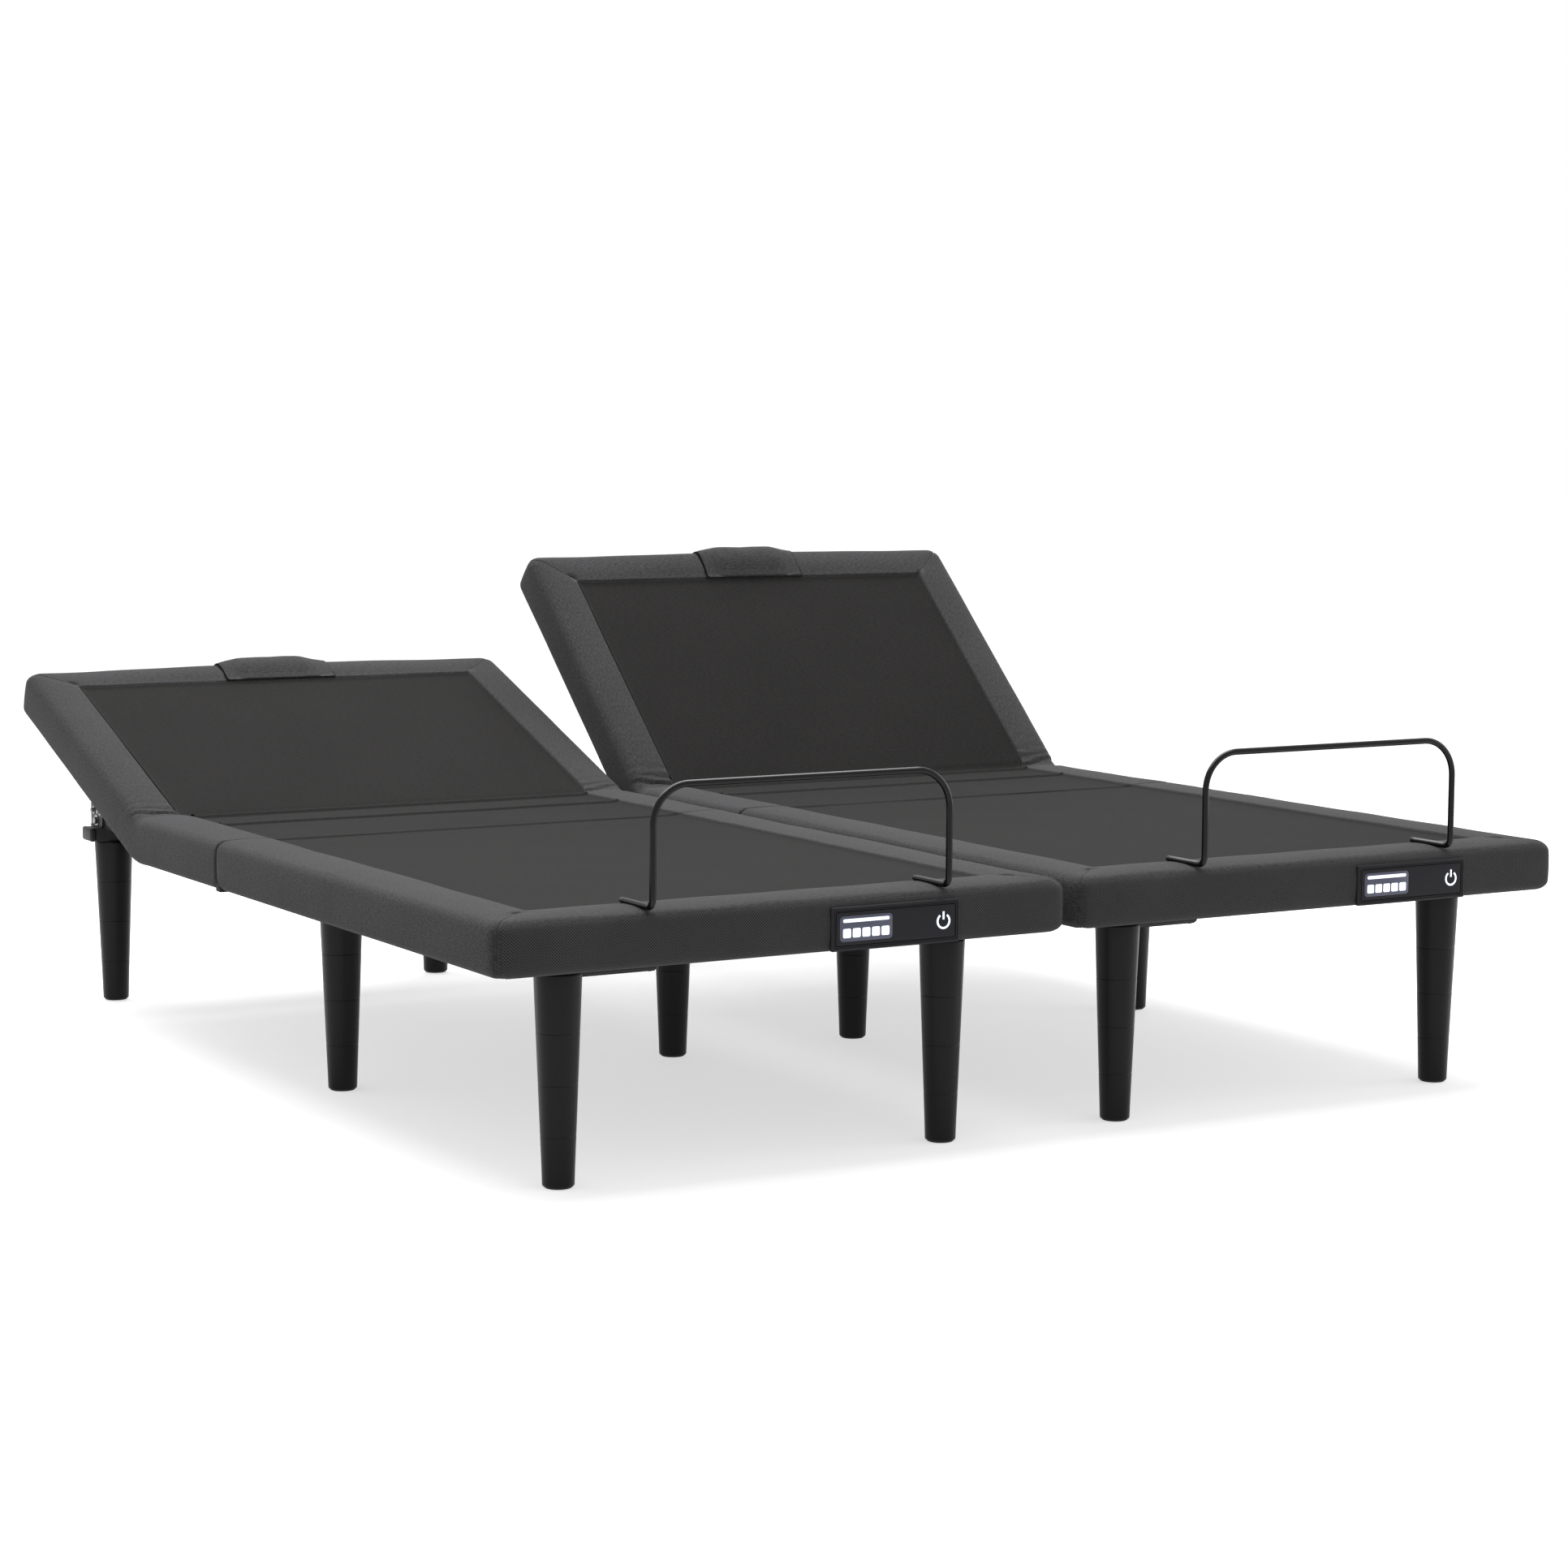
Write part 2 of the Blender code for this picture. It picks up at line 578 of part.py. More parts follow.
def retainer_bar(side, parent, knee):
    """The bent rod at the foot end that keeps the mattress from sliding."""
    lying = DECK_Z + TOUCH_GAP + RETAINER_ROD
    side_points = [(RETAINER_FOOT, lying)]
    bend = (RETAINER_Y + RETAINER_KNEE, lying + RETAINER_KNEE)
    side_points += arc(bend, RETAINER_KNEE, 270.0, 180.0)
    path = [(-RETAINER_HALF, y, z) for y, z in side_points]
    corner_middle = (RETAINER_CORNER - RETAINER_HALF, RETAINER_TOP - RETAINER_CORNER)
    corner = arc(corner_middle, RETAINER_CORNER, 180.0, 90.0, CORNER_STEPS)
    path += [(x, RETAINER_Y, z) for x, z in corner]
    path += [(-x, y, z) for x, y, z in reversed(path)]
    name = f"{side}_retainer_bar"
    place = (RETAINER_SHIFT[side], -knee[0], -knee[1])
    return add_object(name, round_bar(name, path, RETAINER_ROD), parent, RETAINER_PAINT, place)


def display(side, parent, knee):
    """Bezel with a pocket, and the screen that sits in it, on the foot end's face."""
    x, z = DISPLAY_X, DISPLAY_Z - knee[1]
    back = -TOUCH_GAP - knee[0]
    wide, deep, tall = BEZEL_SIZE
    low = (x - wide / 2.0, back - deep, z - tall / 2.0)
    bezel = box(f"{side}_display_bezel", low, (x + wide / 2.0, back, z + tall / 2.0), parent, BEZEL)
    wide, thick, tall = SCREEN_SIZE
    floor = back - deep + POCKET_DEPTH
    margin = TOUCH_GAP
    low = (x - wide / 2.0 - margin, floor - CUT_PAST, z - tall / 2.0 - margin)
    high = (x + wide / 2.0 + margin, floor, z + tall / 2.0 + margin)
    combine(bezel, [box("pocket", low, high, parent)], "DIFFERENCE")
    low = (x - wide / 2.0, floor - margin - thick, z - tall / 2.0)
    high = (x + wide / 2.0, floor - margin, z + tall / 2.0)
    box(f"{side}_display_screen", low, high, parent, SCREEN)


def head_section(side, unit, angle):
    turn = (math.radians(angle), 0.0, 0.0)
    hinge = empty(f"{side}_head_hinge", unit, (0.0, HEAD_HINGE, DECK_Z), turn)
    start = HINGE_GAP + BOARD_BACK
    board(f"{side}_head_board", hinge, start, HEAD_LENGTH - BORDER_WALL - BOARD_END_GAP, 0.0)
    widths = (HEAD_SIDE_BORDER, HEAD_END_BORDER)
    end_border(f"{side}_head_upholstery", hinge, HINGE_GAP, HEAD_LENGTH, 0.0, *widths)
    head_pod(f"{side}_head_pod", hinge)


def seat_section(side, unit):
    low, high = SEAT_START + HINGE_GAP, HEAD_HINGE - HINGE_GAP
    board(f"{side}_seat_board", unit, low + BOARD_BACK, high - BOARD_BACK, DECK_Z)
    for place, sign in (("left", -1.0), ("right", 1.0)):
        side_border(f"{side}_seat_rail_{place}", unit, sign, low, high, DECK_Z)


def thigh_section(side, unit):
    hinge = empty(f"{side}_thigh_hinge", unit, (0.0, SEAT_START, DECK_Z))
    low, high = KNEE + HINGE_GAP - SEAT_START, -HINGE_GAP
    board(f"{side}_thigh_board", hinge, low + BOARD_BACK, high - BOARD_BACK, 0.0)
    for place, sign in (("left", -1.0), ("right", 1.0)):
        side_border(f"{side}_thigh_rail_{place}", hinge, sign, low, high, 0.0)
    return hinge


def foot_section(side, thigh):
    """Hangs on the thigh section's far end. The knee turns about the border's lower edge."""
    knee = (KNEE, DECK_Z - BORDER_HEIGHT)
    place = (0.0, knee[0] - SEAT_START, knee[1] - DECK_Z)
    hinge = empty(f"{side}_knee_hinge", thigh, place)
    start = -HINGE_GAP - BOARD_BACK
    board(f"{side}_foot_board", hinge, start, BORDER_WALL + BOARD_END_GAP - KNEE, BORDER_HEIGHT)
    widths = (SIDE_BORDER, FOOT_BORDER)
    end_border(f"{side}_foot_upholstery", hinge, -HINGE_GAP, -KNEE, BORDER_HEIGHT, *widths)
    retainer_bar(side, hinge, knee)
    display(side, hinge, knee)


def unit(side, x):
    base = empty(f"{side}_unit", None, (x, FOOT_Y, 0.0))
    legs(side, base)
    base_frame(side, base)
    soften(box(f"{side}_control_box", *CONTROL_BOX, base, ACTUATOR_PLASTIC), CONTROL_SOFTEN)
    head_section(side, base, HEAD_ANGLES[side])
    seat_section(side, base)
    foot_section(side, thigh_section(side, base))
    head_lift(side, base, HEAD_ANGLES[side])
    leg_lift(side, base)
    foot_link(side, base)


def joining_bars():
    """Flat bars that tie the two frames together, bolted to the crossbars' upright faces."""
    middle = FOOT_Y + LEG_ROWS["middle"][0] + CROSSBAR_WIDTH / 2.0 + TOUCH_GAP
    head = FOOT_Y + LEG_ROWS["head"][0] - CROSSBAR_WIDTH / 2.0 - TOUCH_GAP - JOINING_THICKNESS
    for place, y in (("middle", middle), ("head", head)):
        low = (-JOINING_HALF, y, JOINING_Z[0])
        high = (JOINING_HALF, y + JOINING_THICKNESS, JOINING_Z[1])
        box(f"joining_bar_{place}", low, high, None, FRAME_STEEL)


clear_scene()
PARTS = new_collection(COLLECTION)
CUTTERS = new_collection("cutters")
SIDE_FABRIC = new_material("side_fabric", (0.060, 0.060, 0.063), 0.92, 0.0)
DECK_FABRIC = new_material("deck_fabric", (0.043, 0.041, 0.039), 0.95, 0.0)
LEG_PLASTIC = new_material("leg_plastic", (0.012, 0.012, 0.012), 0.38, 0.0)
FRAME_STEEL = new_material("frame_steel", (0.020, 0.020, 0.021), 0.45, 0.6)
ROD_STEEL = new_material("rod_steel", (0.60, 0.60, 0.61), 0.25, 1.0)
ACTUATOR_PLASTIC = new_material("actuator_plastic", (0.035, 0.035, 0.037), 0.55, 0.0)
RETAINER_PAINT = new_material("retainer_paint", (0.010, 0.010, 0.010), 0.30, 0.4)
BEZEL = new_material("bezel", (0.012, 0.012, 0.014), 0.30, 0.0)
SCREEN = new_material("screen", (0.004, 0.004, 0.006), 0.08, 0.0)
for unit_side, unit_sign in (("left", -1.0), ("right", 1.0)):
    unit(unit_side, unit_sign * (UNIT_WIDTH + UNIT_GAP) / 2.0)
joining_bars()
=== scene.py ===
"""Looks for the split adjustable bed base: upholstery, cloth, legs, steelwork, displays, light and camera."""

import math

import bmesh
import bpy
import numpy as np
from mathutils import Matrix, Vector


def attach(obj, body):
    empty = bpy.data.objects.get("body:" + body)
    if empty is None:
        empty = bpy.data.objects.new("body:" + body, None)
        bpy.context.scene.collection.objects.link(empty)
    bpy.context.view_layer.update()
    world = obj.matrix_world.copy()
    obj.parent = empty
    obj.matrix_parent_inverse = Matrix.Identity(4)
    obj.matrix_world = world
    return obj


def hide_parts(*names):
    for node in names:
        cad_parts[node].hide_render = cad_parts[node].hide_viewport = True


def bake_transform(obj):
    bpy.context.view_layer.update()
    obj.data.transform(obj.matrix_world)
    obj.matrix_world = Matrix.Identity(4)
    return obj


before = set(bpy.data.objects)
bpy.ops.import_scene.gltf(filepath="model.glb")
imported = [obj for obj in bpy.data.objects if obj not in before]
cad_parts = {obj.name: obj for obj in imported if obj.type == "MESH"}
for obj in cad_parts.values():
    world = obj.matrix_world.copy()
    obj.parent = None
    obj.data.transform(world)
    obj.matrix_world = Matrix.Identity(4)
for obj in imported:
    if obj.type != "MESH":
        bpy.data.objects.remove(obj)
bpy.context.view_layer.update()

# ---------------------------------------------------------------- sizes, in metres, as the CAD has them
UNIT_WIDTH = 0.965
HALF = UNIT_WIDTH / 2.0
UNIT_X = {"left": -0.4935, "right": 0.4935}
FOOT_Y = -1.02                    # where the foot end lies along Y
DECK_Z = 0.41
BORDER_HEIGHT = 0.082
SEAT_START = 1.05
HEAD_HINGE = 1.435
KNEE = 0.62
HEAD_END = HEAD_HINGE + 0.622
HEAD_ANGLE = {"left": 20.3, "right": 42.7}
SIDE_WIDTH = 0.097                 # border's top strip beside the seat and the legs
HEAD_SIDE_WIDTH = 0.082
HEAD_END_WIDTH = 0.077
FOOT_WIDTH = 0.1
WALL = 0.028
LIP = 0.0061
BEND_REACH = 0.048                 # reach to each side of the knee; blend_at_knee works out two points from it, and nothing bends there
COVER_REACH = 0.036                # the fabric bends this far to each side of the head hinge, on the border's cover
SHEET_REACH = 0.018                # and the deck cloth
LEG_ROWS = {                       # place along the unit, reach to either side, and height
    "foot": (0.114, 0.3285, 0.316),
    "middle": (0.9375, 0.31, 0.305),
    "head": (1.965, 0.3325, 0.305),
}
RETAINER_SHIFT = {"left": 0.012, "right": 0.0}
AXIS = {"x": Vector((1.0, 0.0, 0.0)), "y": Vector((0.0, 1.0, 0.0)), "z": Vector((0.0, 0.0, 1.0))}


def at(side, x, y, z):
    """A point given from a unit's middle and foot end, in the row frame."""
    return Vector((UNIT_X[side] + x, FOOT_Y + y, z))


# ---------------------------------------------------------------- node material helpers
class Tree:
    """A material's node tree, with one short call for each node."""

    def __init__(self, name):
        self.material = bpy.data.materials.new(name)
        self.material.use_nodes = True
        self.nodes = self.material.node_tree.nodes
        self.links = self.material.node_tree.links

    def put(self, socket, value):
        if isinstance(value, bpy.types.NodeSocket):
            self.links.new(value, socket)
        else:
            socket.default_value = value

    def fill(self, made, inputs):
        for key, value in inputs.items():
            self.put(made.inputs[key.replace("_", " ")], value)
        return made

    def node(self, kind, **inputs):
        return self.fill(self.nodes.new(kind), inputs)

    def math(self, operation, a, b=0.0):
        made = self.nodes.new("ShaderNodeMath")
        made.operation = operation
        self.put(made.inputs[0], a)
        self.put(made.inputs[1], b)
        return made.outputs[0]

    def add(self, a, b):
        return self.math("ADD", a, b)

    def mul(self, a, b):
        return self.math("MULTIPLY", a, b)

    def mix(self, factor, a, b, blend="MIX"):
        made = self.nodes.new("ShaderNodeMix")
        made.data_type = "RGBA"
        made.blend_type = blend
        for socket, value in ((0, factor), (6, a), (7, b)):
            self.put(made.inputs[socket], value)
        return made.outputs[2]

    def place(self):
        return self.node("ShaderNodeTexCoord").outputs["Object"]

    def cloth_place(self):
        """The UVs in metres, whole and split."""
        made = self.node("ShaderNodeUVMap")
        made.uv_map = "cloth"
        split = self.node("ShaderNodeSeparateXYZ", Vector=made.outputs[0])
        return made.outputs[0], split.outputs[0], split.outputs[1]

    def grain(self, vector, scale, detail, rough=0.55):
        """Noise as fine as scale, which is one number, or three where it is stretched."""
        scale = scale if isinstance(scale, tuple) else (scale,) * 3
        finer = self.node("ShaderNodeMapping", Vector=vector, Scale=scale).outputs[0]
        made = self.node("ShaderNodeTexNoise", Vector=finer, Scale=1.0, Detail=detail, Roughness=rough)
        return made.outputs["Fac"]

    def ramp(self, factor, low, high, dark, light):
        """From one tone at low to another at high, each a colour or one number for a grey."""
        made = self.node("ShaderNodeValToRGB", Fac=factor)
        for stop, place, tone in zip(made.color_ramp.elements, (low, high), (dark, light)):
            stop.position = place
            stop.color = (*(tone if isinstance(tone, tuple) else (tone,) * 3), 1.0)
        return made.outputs[0]

    def blotched(self, colour, noise, spread):
        """Colour made lighter and darker by up to spread."""
        return self.mix(1.0, colour, self.ramp(noise, 0.3, 0.7, 1.0 - spread, 1.0 + spread), "MULTIPLY")

    def bump(self, height, strength, distance):
        made = self.node("ShaderNodeBump", Strength=strength, Distance=distance, Height=height)
        return made.outputs["Normal"]

    def set(self, **inputs):
        self.fill(self.nodes["Principled BSDF"], inputs)
        return self.material


def woven_cloth(name, dark, light, pitch, tint=(1.0, 1.0, 1.0), sheen=0.05, blotch=0.1, bump=0.35, spec=0.15):
    """A plain weave over UVs in metres: crossing yarns, heathered colour and a soft nap."""
    t = Tree(name)
    uv, u, v = t.cloth_place()
    warp, weft = [t.math("SINE", t.mul(along, 2.0 * math.pi / pitch)) for along in (u, v)]
    weave = t.mul(warp, weft)
    slub = t.grain(uv, (140.0, 900.0, 1.0), 2.0)
    fleck = t.grain(uv, (900.0, 260.0, 1.0), 2.0)
    coarse = t.grain(uv, (110.0, 420.0, 1.0), 3.0)
    heather = t.add(t.add(t.mul(slub, 0.35), t.mul(fleck, 0.25)), t.mul(coarse, 0.4))
    colour = t.ramp(heather, 0.41, 0.59, *[tuple(tone * c for c in tint) for tone in (dark, light)])
    colour = t.blotched(colour, t.grain(uv, 5.0, 4.0), blotch)
    colour = t.mix(0.16, colour, t.ramp(weave, 0.0, 1.0, 0.0, 1.0), "OVERLAY")
    height = t.add(t.mul(weave, 0.5), t.mul(fleck, 0.6))
    return t.set(
        Base_Color=colour, Roughness=t.add(0.87, t.mul(heather, 0.1)), Normal=t.bump(height, bump, 0.0004),
        Sheen_Weight=sheen, Sheen_Roughness=0.45, Sheen_Tint=(0.82, 0.82, 0.85, 1.0), Specular_IOR_Level=spec,
    )


def mesh_cloth(name, dark, light, pitch):
    """Open spacer mesh with a small diamond pattern, as on the foot end's face."""
    t = Tree(name)
    uv, u, v = t.cloth_place()
    slants = [t.mul(t.math(how, u, v), math.pi / pitch) for how in ("ADD", "SUBTRACT")]
    cells = t.mul(*[t.math("ABSOLUTE", t.math("SINE", slant)) for slant in slants])
    colour = t.blotched(t.ramp(cells, 0.25, 0.75, light, dark), t.grain(uv, 7.0, 3.0), 0.12)
    height = t.math("SUBTRACT", t.mul(t.grain(uv, 800.0, 2.0), 0.3), cells)
    return t.set(
        Base_Color=colour, Roughness=t.add(0.86, t.mul(cells, 0.1)), Normal=t.bump(height, 0.5, 0.0007),
        Sheen_Weight=0.05, Sheen_Roughness=0.5, Specular_IOR_Level=0.18,
    )


def board_felt():
    """Thin black felt wrapped over the wood panels, coloured by place because CAD meshes carry no UVs."""
    t = Tree("board_felt")
    place = t.place()
    fibre = t.grain(place, (700.0, 900.0, 700.0), 4.0, 0.7)
    colour = t.ramp(fibre, 0.35, 0.68, 0.01, (0.03, 0.03, 0.029))
    colour = t.blotched(colour, t.grain(place, 6.0, 4.0), 0.15)
    normal, roughness = t.bump(fibre, 0.5, 0.0005), t.add(0.88, t.mul(fibre, 0.1))
    return t.set(Base_Color=colour, Roughness=roughness, Normal=normal, Specular_IOR_Level=0.25)


def hard_surface(name, colour, rough, metallic=0.0, grain=1400.0, bump=0.08, vary=0.08, wear=0.0, spec=0.5):
    """Moulded plastic, powder coat or plated steel: fine grain, uneven gloss and a little edge wear."""
    t = Tree(name)
    place = t.place()
    fine, broad = t.grain(place, grain, 2.0), t.grain(place, 14.0, 4.0)
    tint = t.ramp(broad, 0.3, 0.7, *[tuple(c * much for c in colour) for much in (1.0 - vary, 1.0 + vary)])
    if wear:
        edge = t.node("ShaderNodeNewGeometry").outputs["Pointiness"]
        scratch = t.mul(t.ramp(edge, 0.52, 0.6, 0.0, 1.0), t.grain(place, 60.0, 5.0))
        tint = t.mix(t.mul(scratch, wear), tint, (0.16, 0.16, 0.16, 1.0))
    roughness = t.add(rough - 0.06, t.mul(t.add(fine, broad), 0.06))
    return t.set(
        Base_Color=tint, Roughness=roughness, Normal=t.bump(fine, bump, 0.0003), Metallic=metallic,
        Specular_IOR_Level=spec,
    )


def glow(name, colour, strength):
    """A lit spot seen through dark glass."""
    t = Tree(name)
    tint = t.ramp(t.grain(t.place(), 90.0, 1.0), 0.2, 0.8, tuple(c * 0.93 for c in colour), colour)
    dark = (0.02, 0.02, 0.025, 1.0)
    return t.set(Base_Color=dark, Emission_Color=tint, Emission_Strength=strength, Roughness=0.4)


SIDE_CLOTH = woven_cloth("side_cloth", 0.01, 0.032, 0.0016, (1.01, 0.985, 1.03), 0.07)
FOOT_CLOTH = mesh_cloth("foot_mesh_cloth", 0.004, 0.03, 0.0046)
DECK_CLOTH = woven_cloth("deck_cloth", 0.0055, 0.0115, 0.0011, (1.05, 1.0, 0.96), 0.02, 0.07, 0.2, 0.08)
UNDER_CLOTH = woven_cloth("under_cloth", 0.012, 0.026, 0.0022, blotch=0.15, bump=0.5)
# near-black cloth at the pod's sewn ends: painted shade standing in for the narrow gap where the sleeve meets
# the border
SEAM_SHADE_CLOTH = woven_cloth("seam_painted_shade_cloth", 0.0015, 0.004, 0.001, sheen=0.0, spec=0.05)
BOARD_CLOTH = board_felt()
LEG_PLASTIC = hard_surface("leg_plastic", (0.0026,) * 3, 0.36, grain=1800.0, bump=0.04, spec=0.15)
FRAME_STEEL = hard_surface(
    "frame_powder_coat", (0.0085, 0.0085, 0.009), 0.45, grain=900.0, bump=0.22, wear=0.25, spec=0.3)
ROD_STEEL = hard_surface("rod_plating", (0.56, 0.56, 0.57), 0.24, 1.0, 2600.0, 0.05)
ZINC = hard_surface("zinc_plating", (0.26, 0.26, 0.25), 0.34, 1.0, 1500.0, 0.1, 0.15)
MOULDED = hard_surface("moulded_black", (0.0075, 0.0075, 0.0085), 0.45, grain=1600.0, bump=0.2, spec=0.22)
NYLON = hard_surface("nylon_roller", (0.34, 0.34, 0.32), 0.45, grain=1200.0)
RUBBER = hard_surface("rubber_foot", (0.01,) * 3, 0.82, grain=1100.0, bump=0.3)
GLOSS_PAINT = hard_surface("retainer_paint", (0.002, 0.002, 0.0022), 0.2, grain=700.0, bump=0.05, spec=0.2)
BEZEL_PLASTIC = hard_surface("bezel_plastic", (0.008, 0.008, 0.0095), 0.48, 0.0, 1700.0, 0.12, spec=0.15)
SCREEN_GLASS = hard_surface("screen_window", (0.0035, 0.0035, 0.0055), 0.2, grain=500.0, bump=0.01, spec=0.18)
LIT_MARK = glow("lit_mark", (0.8, 0.88, 1.0), 1.6)
HALO = glow("lit_halo", (0.016, 0.02, 0.05), 1.0)
STATUS_GREEN = glow("status_lamp", (0.25, 0.9, 0.45), 1.2)


# ---------------------------------------------------------------- mesh helpers
CLOTH_FRAMES = 20


def new_object(name, mesh, materials, smooth=True):
    made = bpy.data.objects.new(name, mesh)
    bpy.context.scene.collection.objects.link(made)
    for material in materials:
        mesh.materials.append(material)
    if smooth:
        mesh.shade_smooth()
    return made


def tidy_normals(mesh):
    shape = bmesh.new()
    shape.from_mesh(mesh)
    bmesh.ops.remove_doubles(shape, verts=shape.verts, dist=1e-6)
    bmesh.ops.dissolve_degenerate(shape, edges=shape.edges, dist=1e-7)
    bmesh.ops.recalc_face_normals(shape, faces=shape.faces)
    shape.to_mesh(mesh)
    shape.free()


def run_along(points):
    """How far each point lies from the first, along the path through them all."""
    return np.append(0.0, np.cumsum(np.linalg.norm(np.diff(np.array(points, float), axis=0), axis=1)))


def spaced(start, stop, step):
    count = max(1, round(abs(stop - start) / step))
    return [start + (stop - start) * k / count for k in range(count + 1)]


def grid_mesh(name, rings, us, vs, closed=True, pick=None, caps=(), extra=(), held=None):
    """Quads between rings of points. us and vs are each ring's UVs in metres, pick gives a face's material,
    caps are (ring index, centre point) fans, extra is more faces, and held is for mark_held."""
    rings = np.asarray(rings, float)
    count, size = rings.shape[:2]
    us = [np.broadcast_to(u, size).tolist() for u in us]
    vs = [np.broadcast_to(v, size + 1).tolist() for v in vs]
    verts = [tuple(p) for ring in rings for p in ring]
    faces, uvs, picks = [], [], []
    span = size if closed else size - 1
    for i in range(count - 1):
        for j in range(span):
            k = (j + 1) % size
            faces.append((i * size + j, (i + 1) * size + j, (i + 1) * size + k, i * size + k))
            uvs += [(us[i][j], vs[i][j]), (us[i + 1][j], vs[i + 1][j])]
            uvs += [(us[i + 1][k], vs[i + 1][j + 1]), (us[i][k], vs[i][j + 1])]
            picks.append(pick(i, j) if pick else 0)
    for ring, centre in caps:
        verts.append(tuple(centre))
        for j in range(span):
            a, b = ring * size + j, ring * size + (j + 1) % size
            faces.append((a, b, len(verts) - 1))
            uvs += [(verts[a][0], verts[a][2])] * 2 + [(centre[0], centre[2])]
            picks.append(0)
    for face in extra:
        faces.append(face)
        uvs += [(0.0, 0.0)] * len(face)
        picks.append(0)
    mesh = bpy.data.meshes.new(name)
    mesh.from_pydata(verts, [], faces)
    layer = mesh.uv_layers.new(name="cloth")
    layer.data.foreach_set("uv", np.array(uvs, np.float32).ravel())
    mesh.polygons.foreach_set("material_index", picks)
    mesh.update()
    if held is not None:
        mark_held(mesh, held)
    tidy_normals(mesh)
    return mesh


def circle(steps):
    return [(math.cos(2.0 * math.pi * k / steps), math.sin(2.0 * math.pi * k / steps)) for k in range(steps)]


def lathe(name, profile, centre, axis, materials, steps=40, pick=None):
    """A turned piece. profile is (radius, distance along the axis) from one end to the other."""
    axis, centre = Vector(axis).normalized(), Vector(centre)
    across = axis.orthogonal().normalized()
    other = axis.cross(across)
    out = [across * c + other * s for c, s in circle(steps)]
    rings = [[centre + axis * along + o * max(radius, 1e-5) for o in out] for radius, along in profile]
    girth = 2.0 * math.pi * max(r for r, _ in profile)
    vs = [[girth * k / steps for k in range(steps + 1)]] * len(profile)
    caps = ((0, centre + axis * profile[0][1]), (len(profile) - 1, centre + axis * profile[-1][1]))
    mesh = grid_mesh(name, rings, run_along(profile), vs, pick=pick, caps=caps)
    made = new_object(name, mesh, materials)
    mesh.set_sharp_from_angle(angle=math.radians(38.0))
    return made


def swept(name, points, radius, material, sides):
    """A round bar along points, with domed ends, carried along without twisting."""
    points = [Vector(p) for p in points]
    last = len(points) - 1
    tangents = [(points[min(i + 1, last)] - points[max(i - 1, 0)]).normalized() for i in range(last + 1)]
    normal = tangents[0].orthogonal().normalized()
    frames = []
    for tangent in tangents:
        normal = (normal - tangent * normal.dot(tangent)).normalized()
        frames.append((normal, tangent.cross(normal)))
    dome = [(radius * (1.0 - math.cos(a)), math.sin(a)) for a in (0.25, 0.6, 1.0, 1.35)]
    stations = [(points[0] + tangents[0] * k, s) for k, s in dome] + [(p, 1.0) for p in points[1:-1]]
    stations += [(points[-1] - tangents[-1] * k, s) for k, s in reversed(dome)]
    frames = [frames[0]] * len(dome) + frames[1:-1] + [frames[-1]] * len(dome)
    rings = [
        [place + (n * c + b * s) * radius * share for c, s in circle(sides)]
        for (place, share), (n, b) in zip(stations, frames)
    ]
    vs = [[2.0 * math.pi * radius * k / sides for k in range(sides + 1)]] * len(rings)
    caps = ((0, points[0]), (len(rings) - 1, points[-1]))
    mesh = grid_mesh(name, rings, run_along([place for place, _ in stations]), vs, caps=caps)
    return new_object(name, mesh, [material])


def boxed(side, low, high, material, bevel, segments=3, turn=None):
    """A rounded block between two opposite corners, carried by turn where it has to lie at an angle."""
    low, high = at(side, *low), at(side, *high)
    size = [abs(b - a) for a, b in zip(low, high)]
    shape = bmesh.new()
    bmesh.ops.create_cube(shape, size=1.0)
    bmesh.ops.scale(shape, vec=size, verts=shape.verts)
    bmesh.ops.translate(shape, vec=(low + high) / 2.0, verts=shape.verts)
    bmesh.ops.bevel(
        shape, geom=shape.edges[:], offset=min(bevel, min(size) * 0.45), segments=segments,
        profile=0.5, affect="EDGES", clamp_overlap=True,
    )
    if turn is not None:
        bmesh.ops.transform(shape, matrix=turn, verts=shape.verts)
    mesh = bpy.data.meshes.new("block")
    shape.to_mesh(mesh)
    shape.free()
    add_box_uv(mesh)
    made = new_object("block", mesh, [material])
    mesh.set_sharp_from_angle(angle=math.radians(50.0))
    return made


def add_box_uv(mesh):
    """UVs in metres, projected along each face's main axis."""
    layer = mesh.uv_layers.new(name="cloth")
    for face in mesh.polygons:
        n = [abs(c) for c in face.normal]
        across, up = [i for i in range(3) if i != n.index(max(n))]
        for loop in face.loop_indices:
            co = mesh.vertices[mesh.loops[loop].vertex_index].co
            layer.data[loop].uv = (co[across], co[up])


def ride_joined(name, objects, body="root"):
    """Several pieces on one body, as one piece."""
    with bpy.context.temp_override(
        active_object=objects[0], selected_objects=objects, selected_editable_objects=objects
    ):
        bpy.ops.object.join()
    objects[0].name = name
    objects[0].data.name = name
    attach(objects[0], body)


def fit(piece, slot, body, *nodes):
    """Puts a piece in the place of CAD nodes, on their body."""
    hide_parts(*nodes)
    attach(piece, body)


def apply_modifiers(obj):
    """Keeps the shown shape as the piece's own mesh."""
    depsgraph = bpy.context.evaluated_depsgraph_get()
    mesh = bpy.data.meshes.new_from_object(obj.evaluated_get(depsgraph), depsgraph=depsgraph)
    mesh.name = obj.data.name
    obj.modifiers.clear()
    obj.data = mesh


def mark_held(mesh, values):
    """Stores how firmly each point is held while the fabric swells, from 0, free, to 1, sewn down."""
    layer = mesh.attributes.new("held", "FLOAT", "POINT")
    full = np.ones(len(mesh.vertices), np.float32)
    full[: len(values)] = values
    layer.data.foreach_set("value", full)


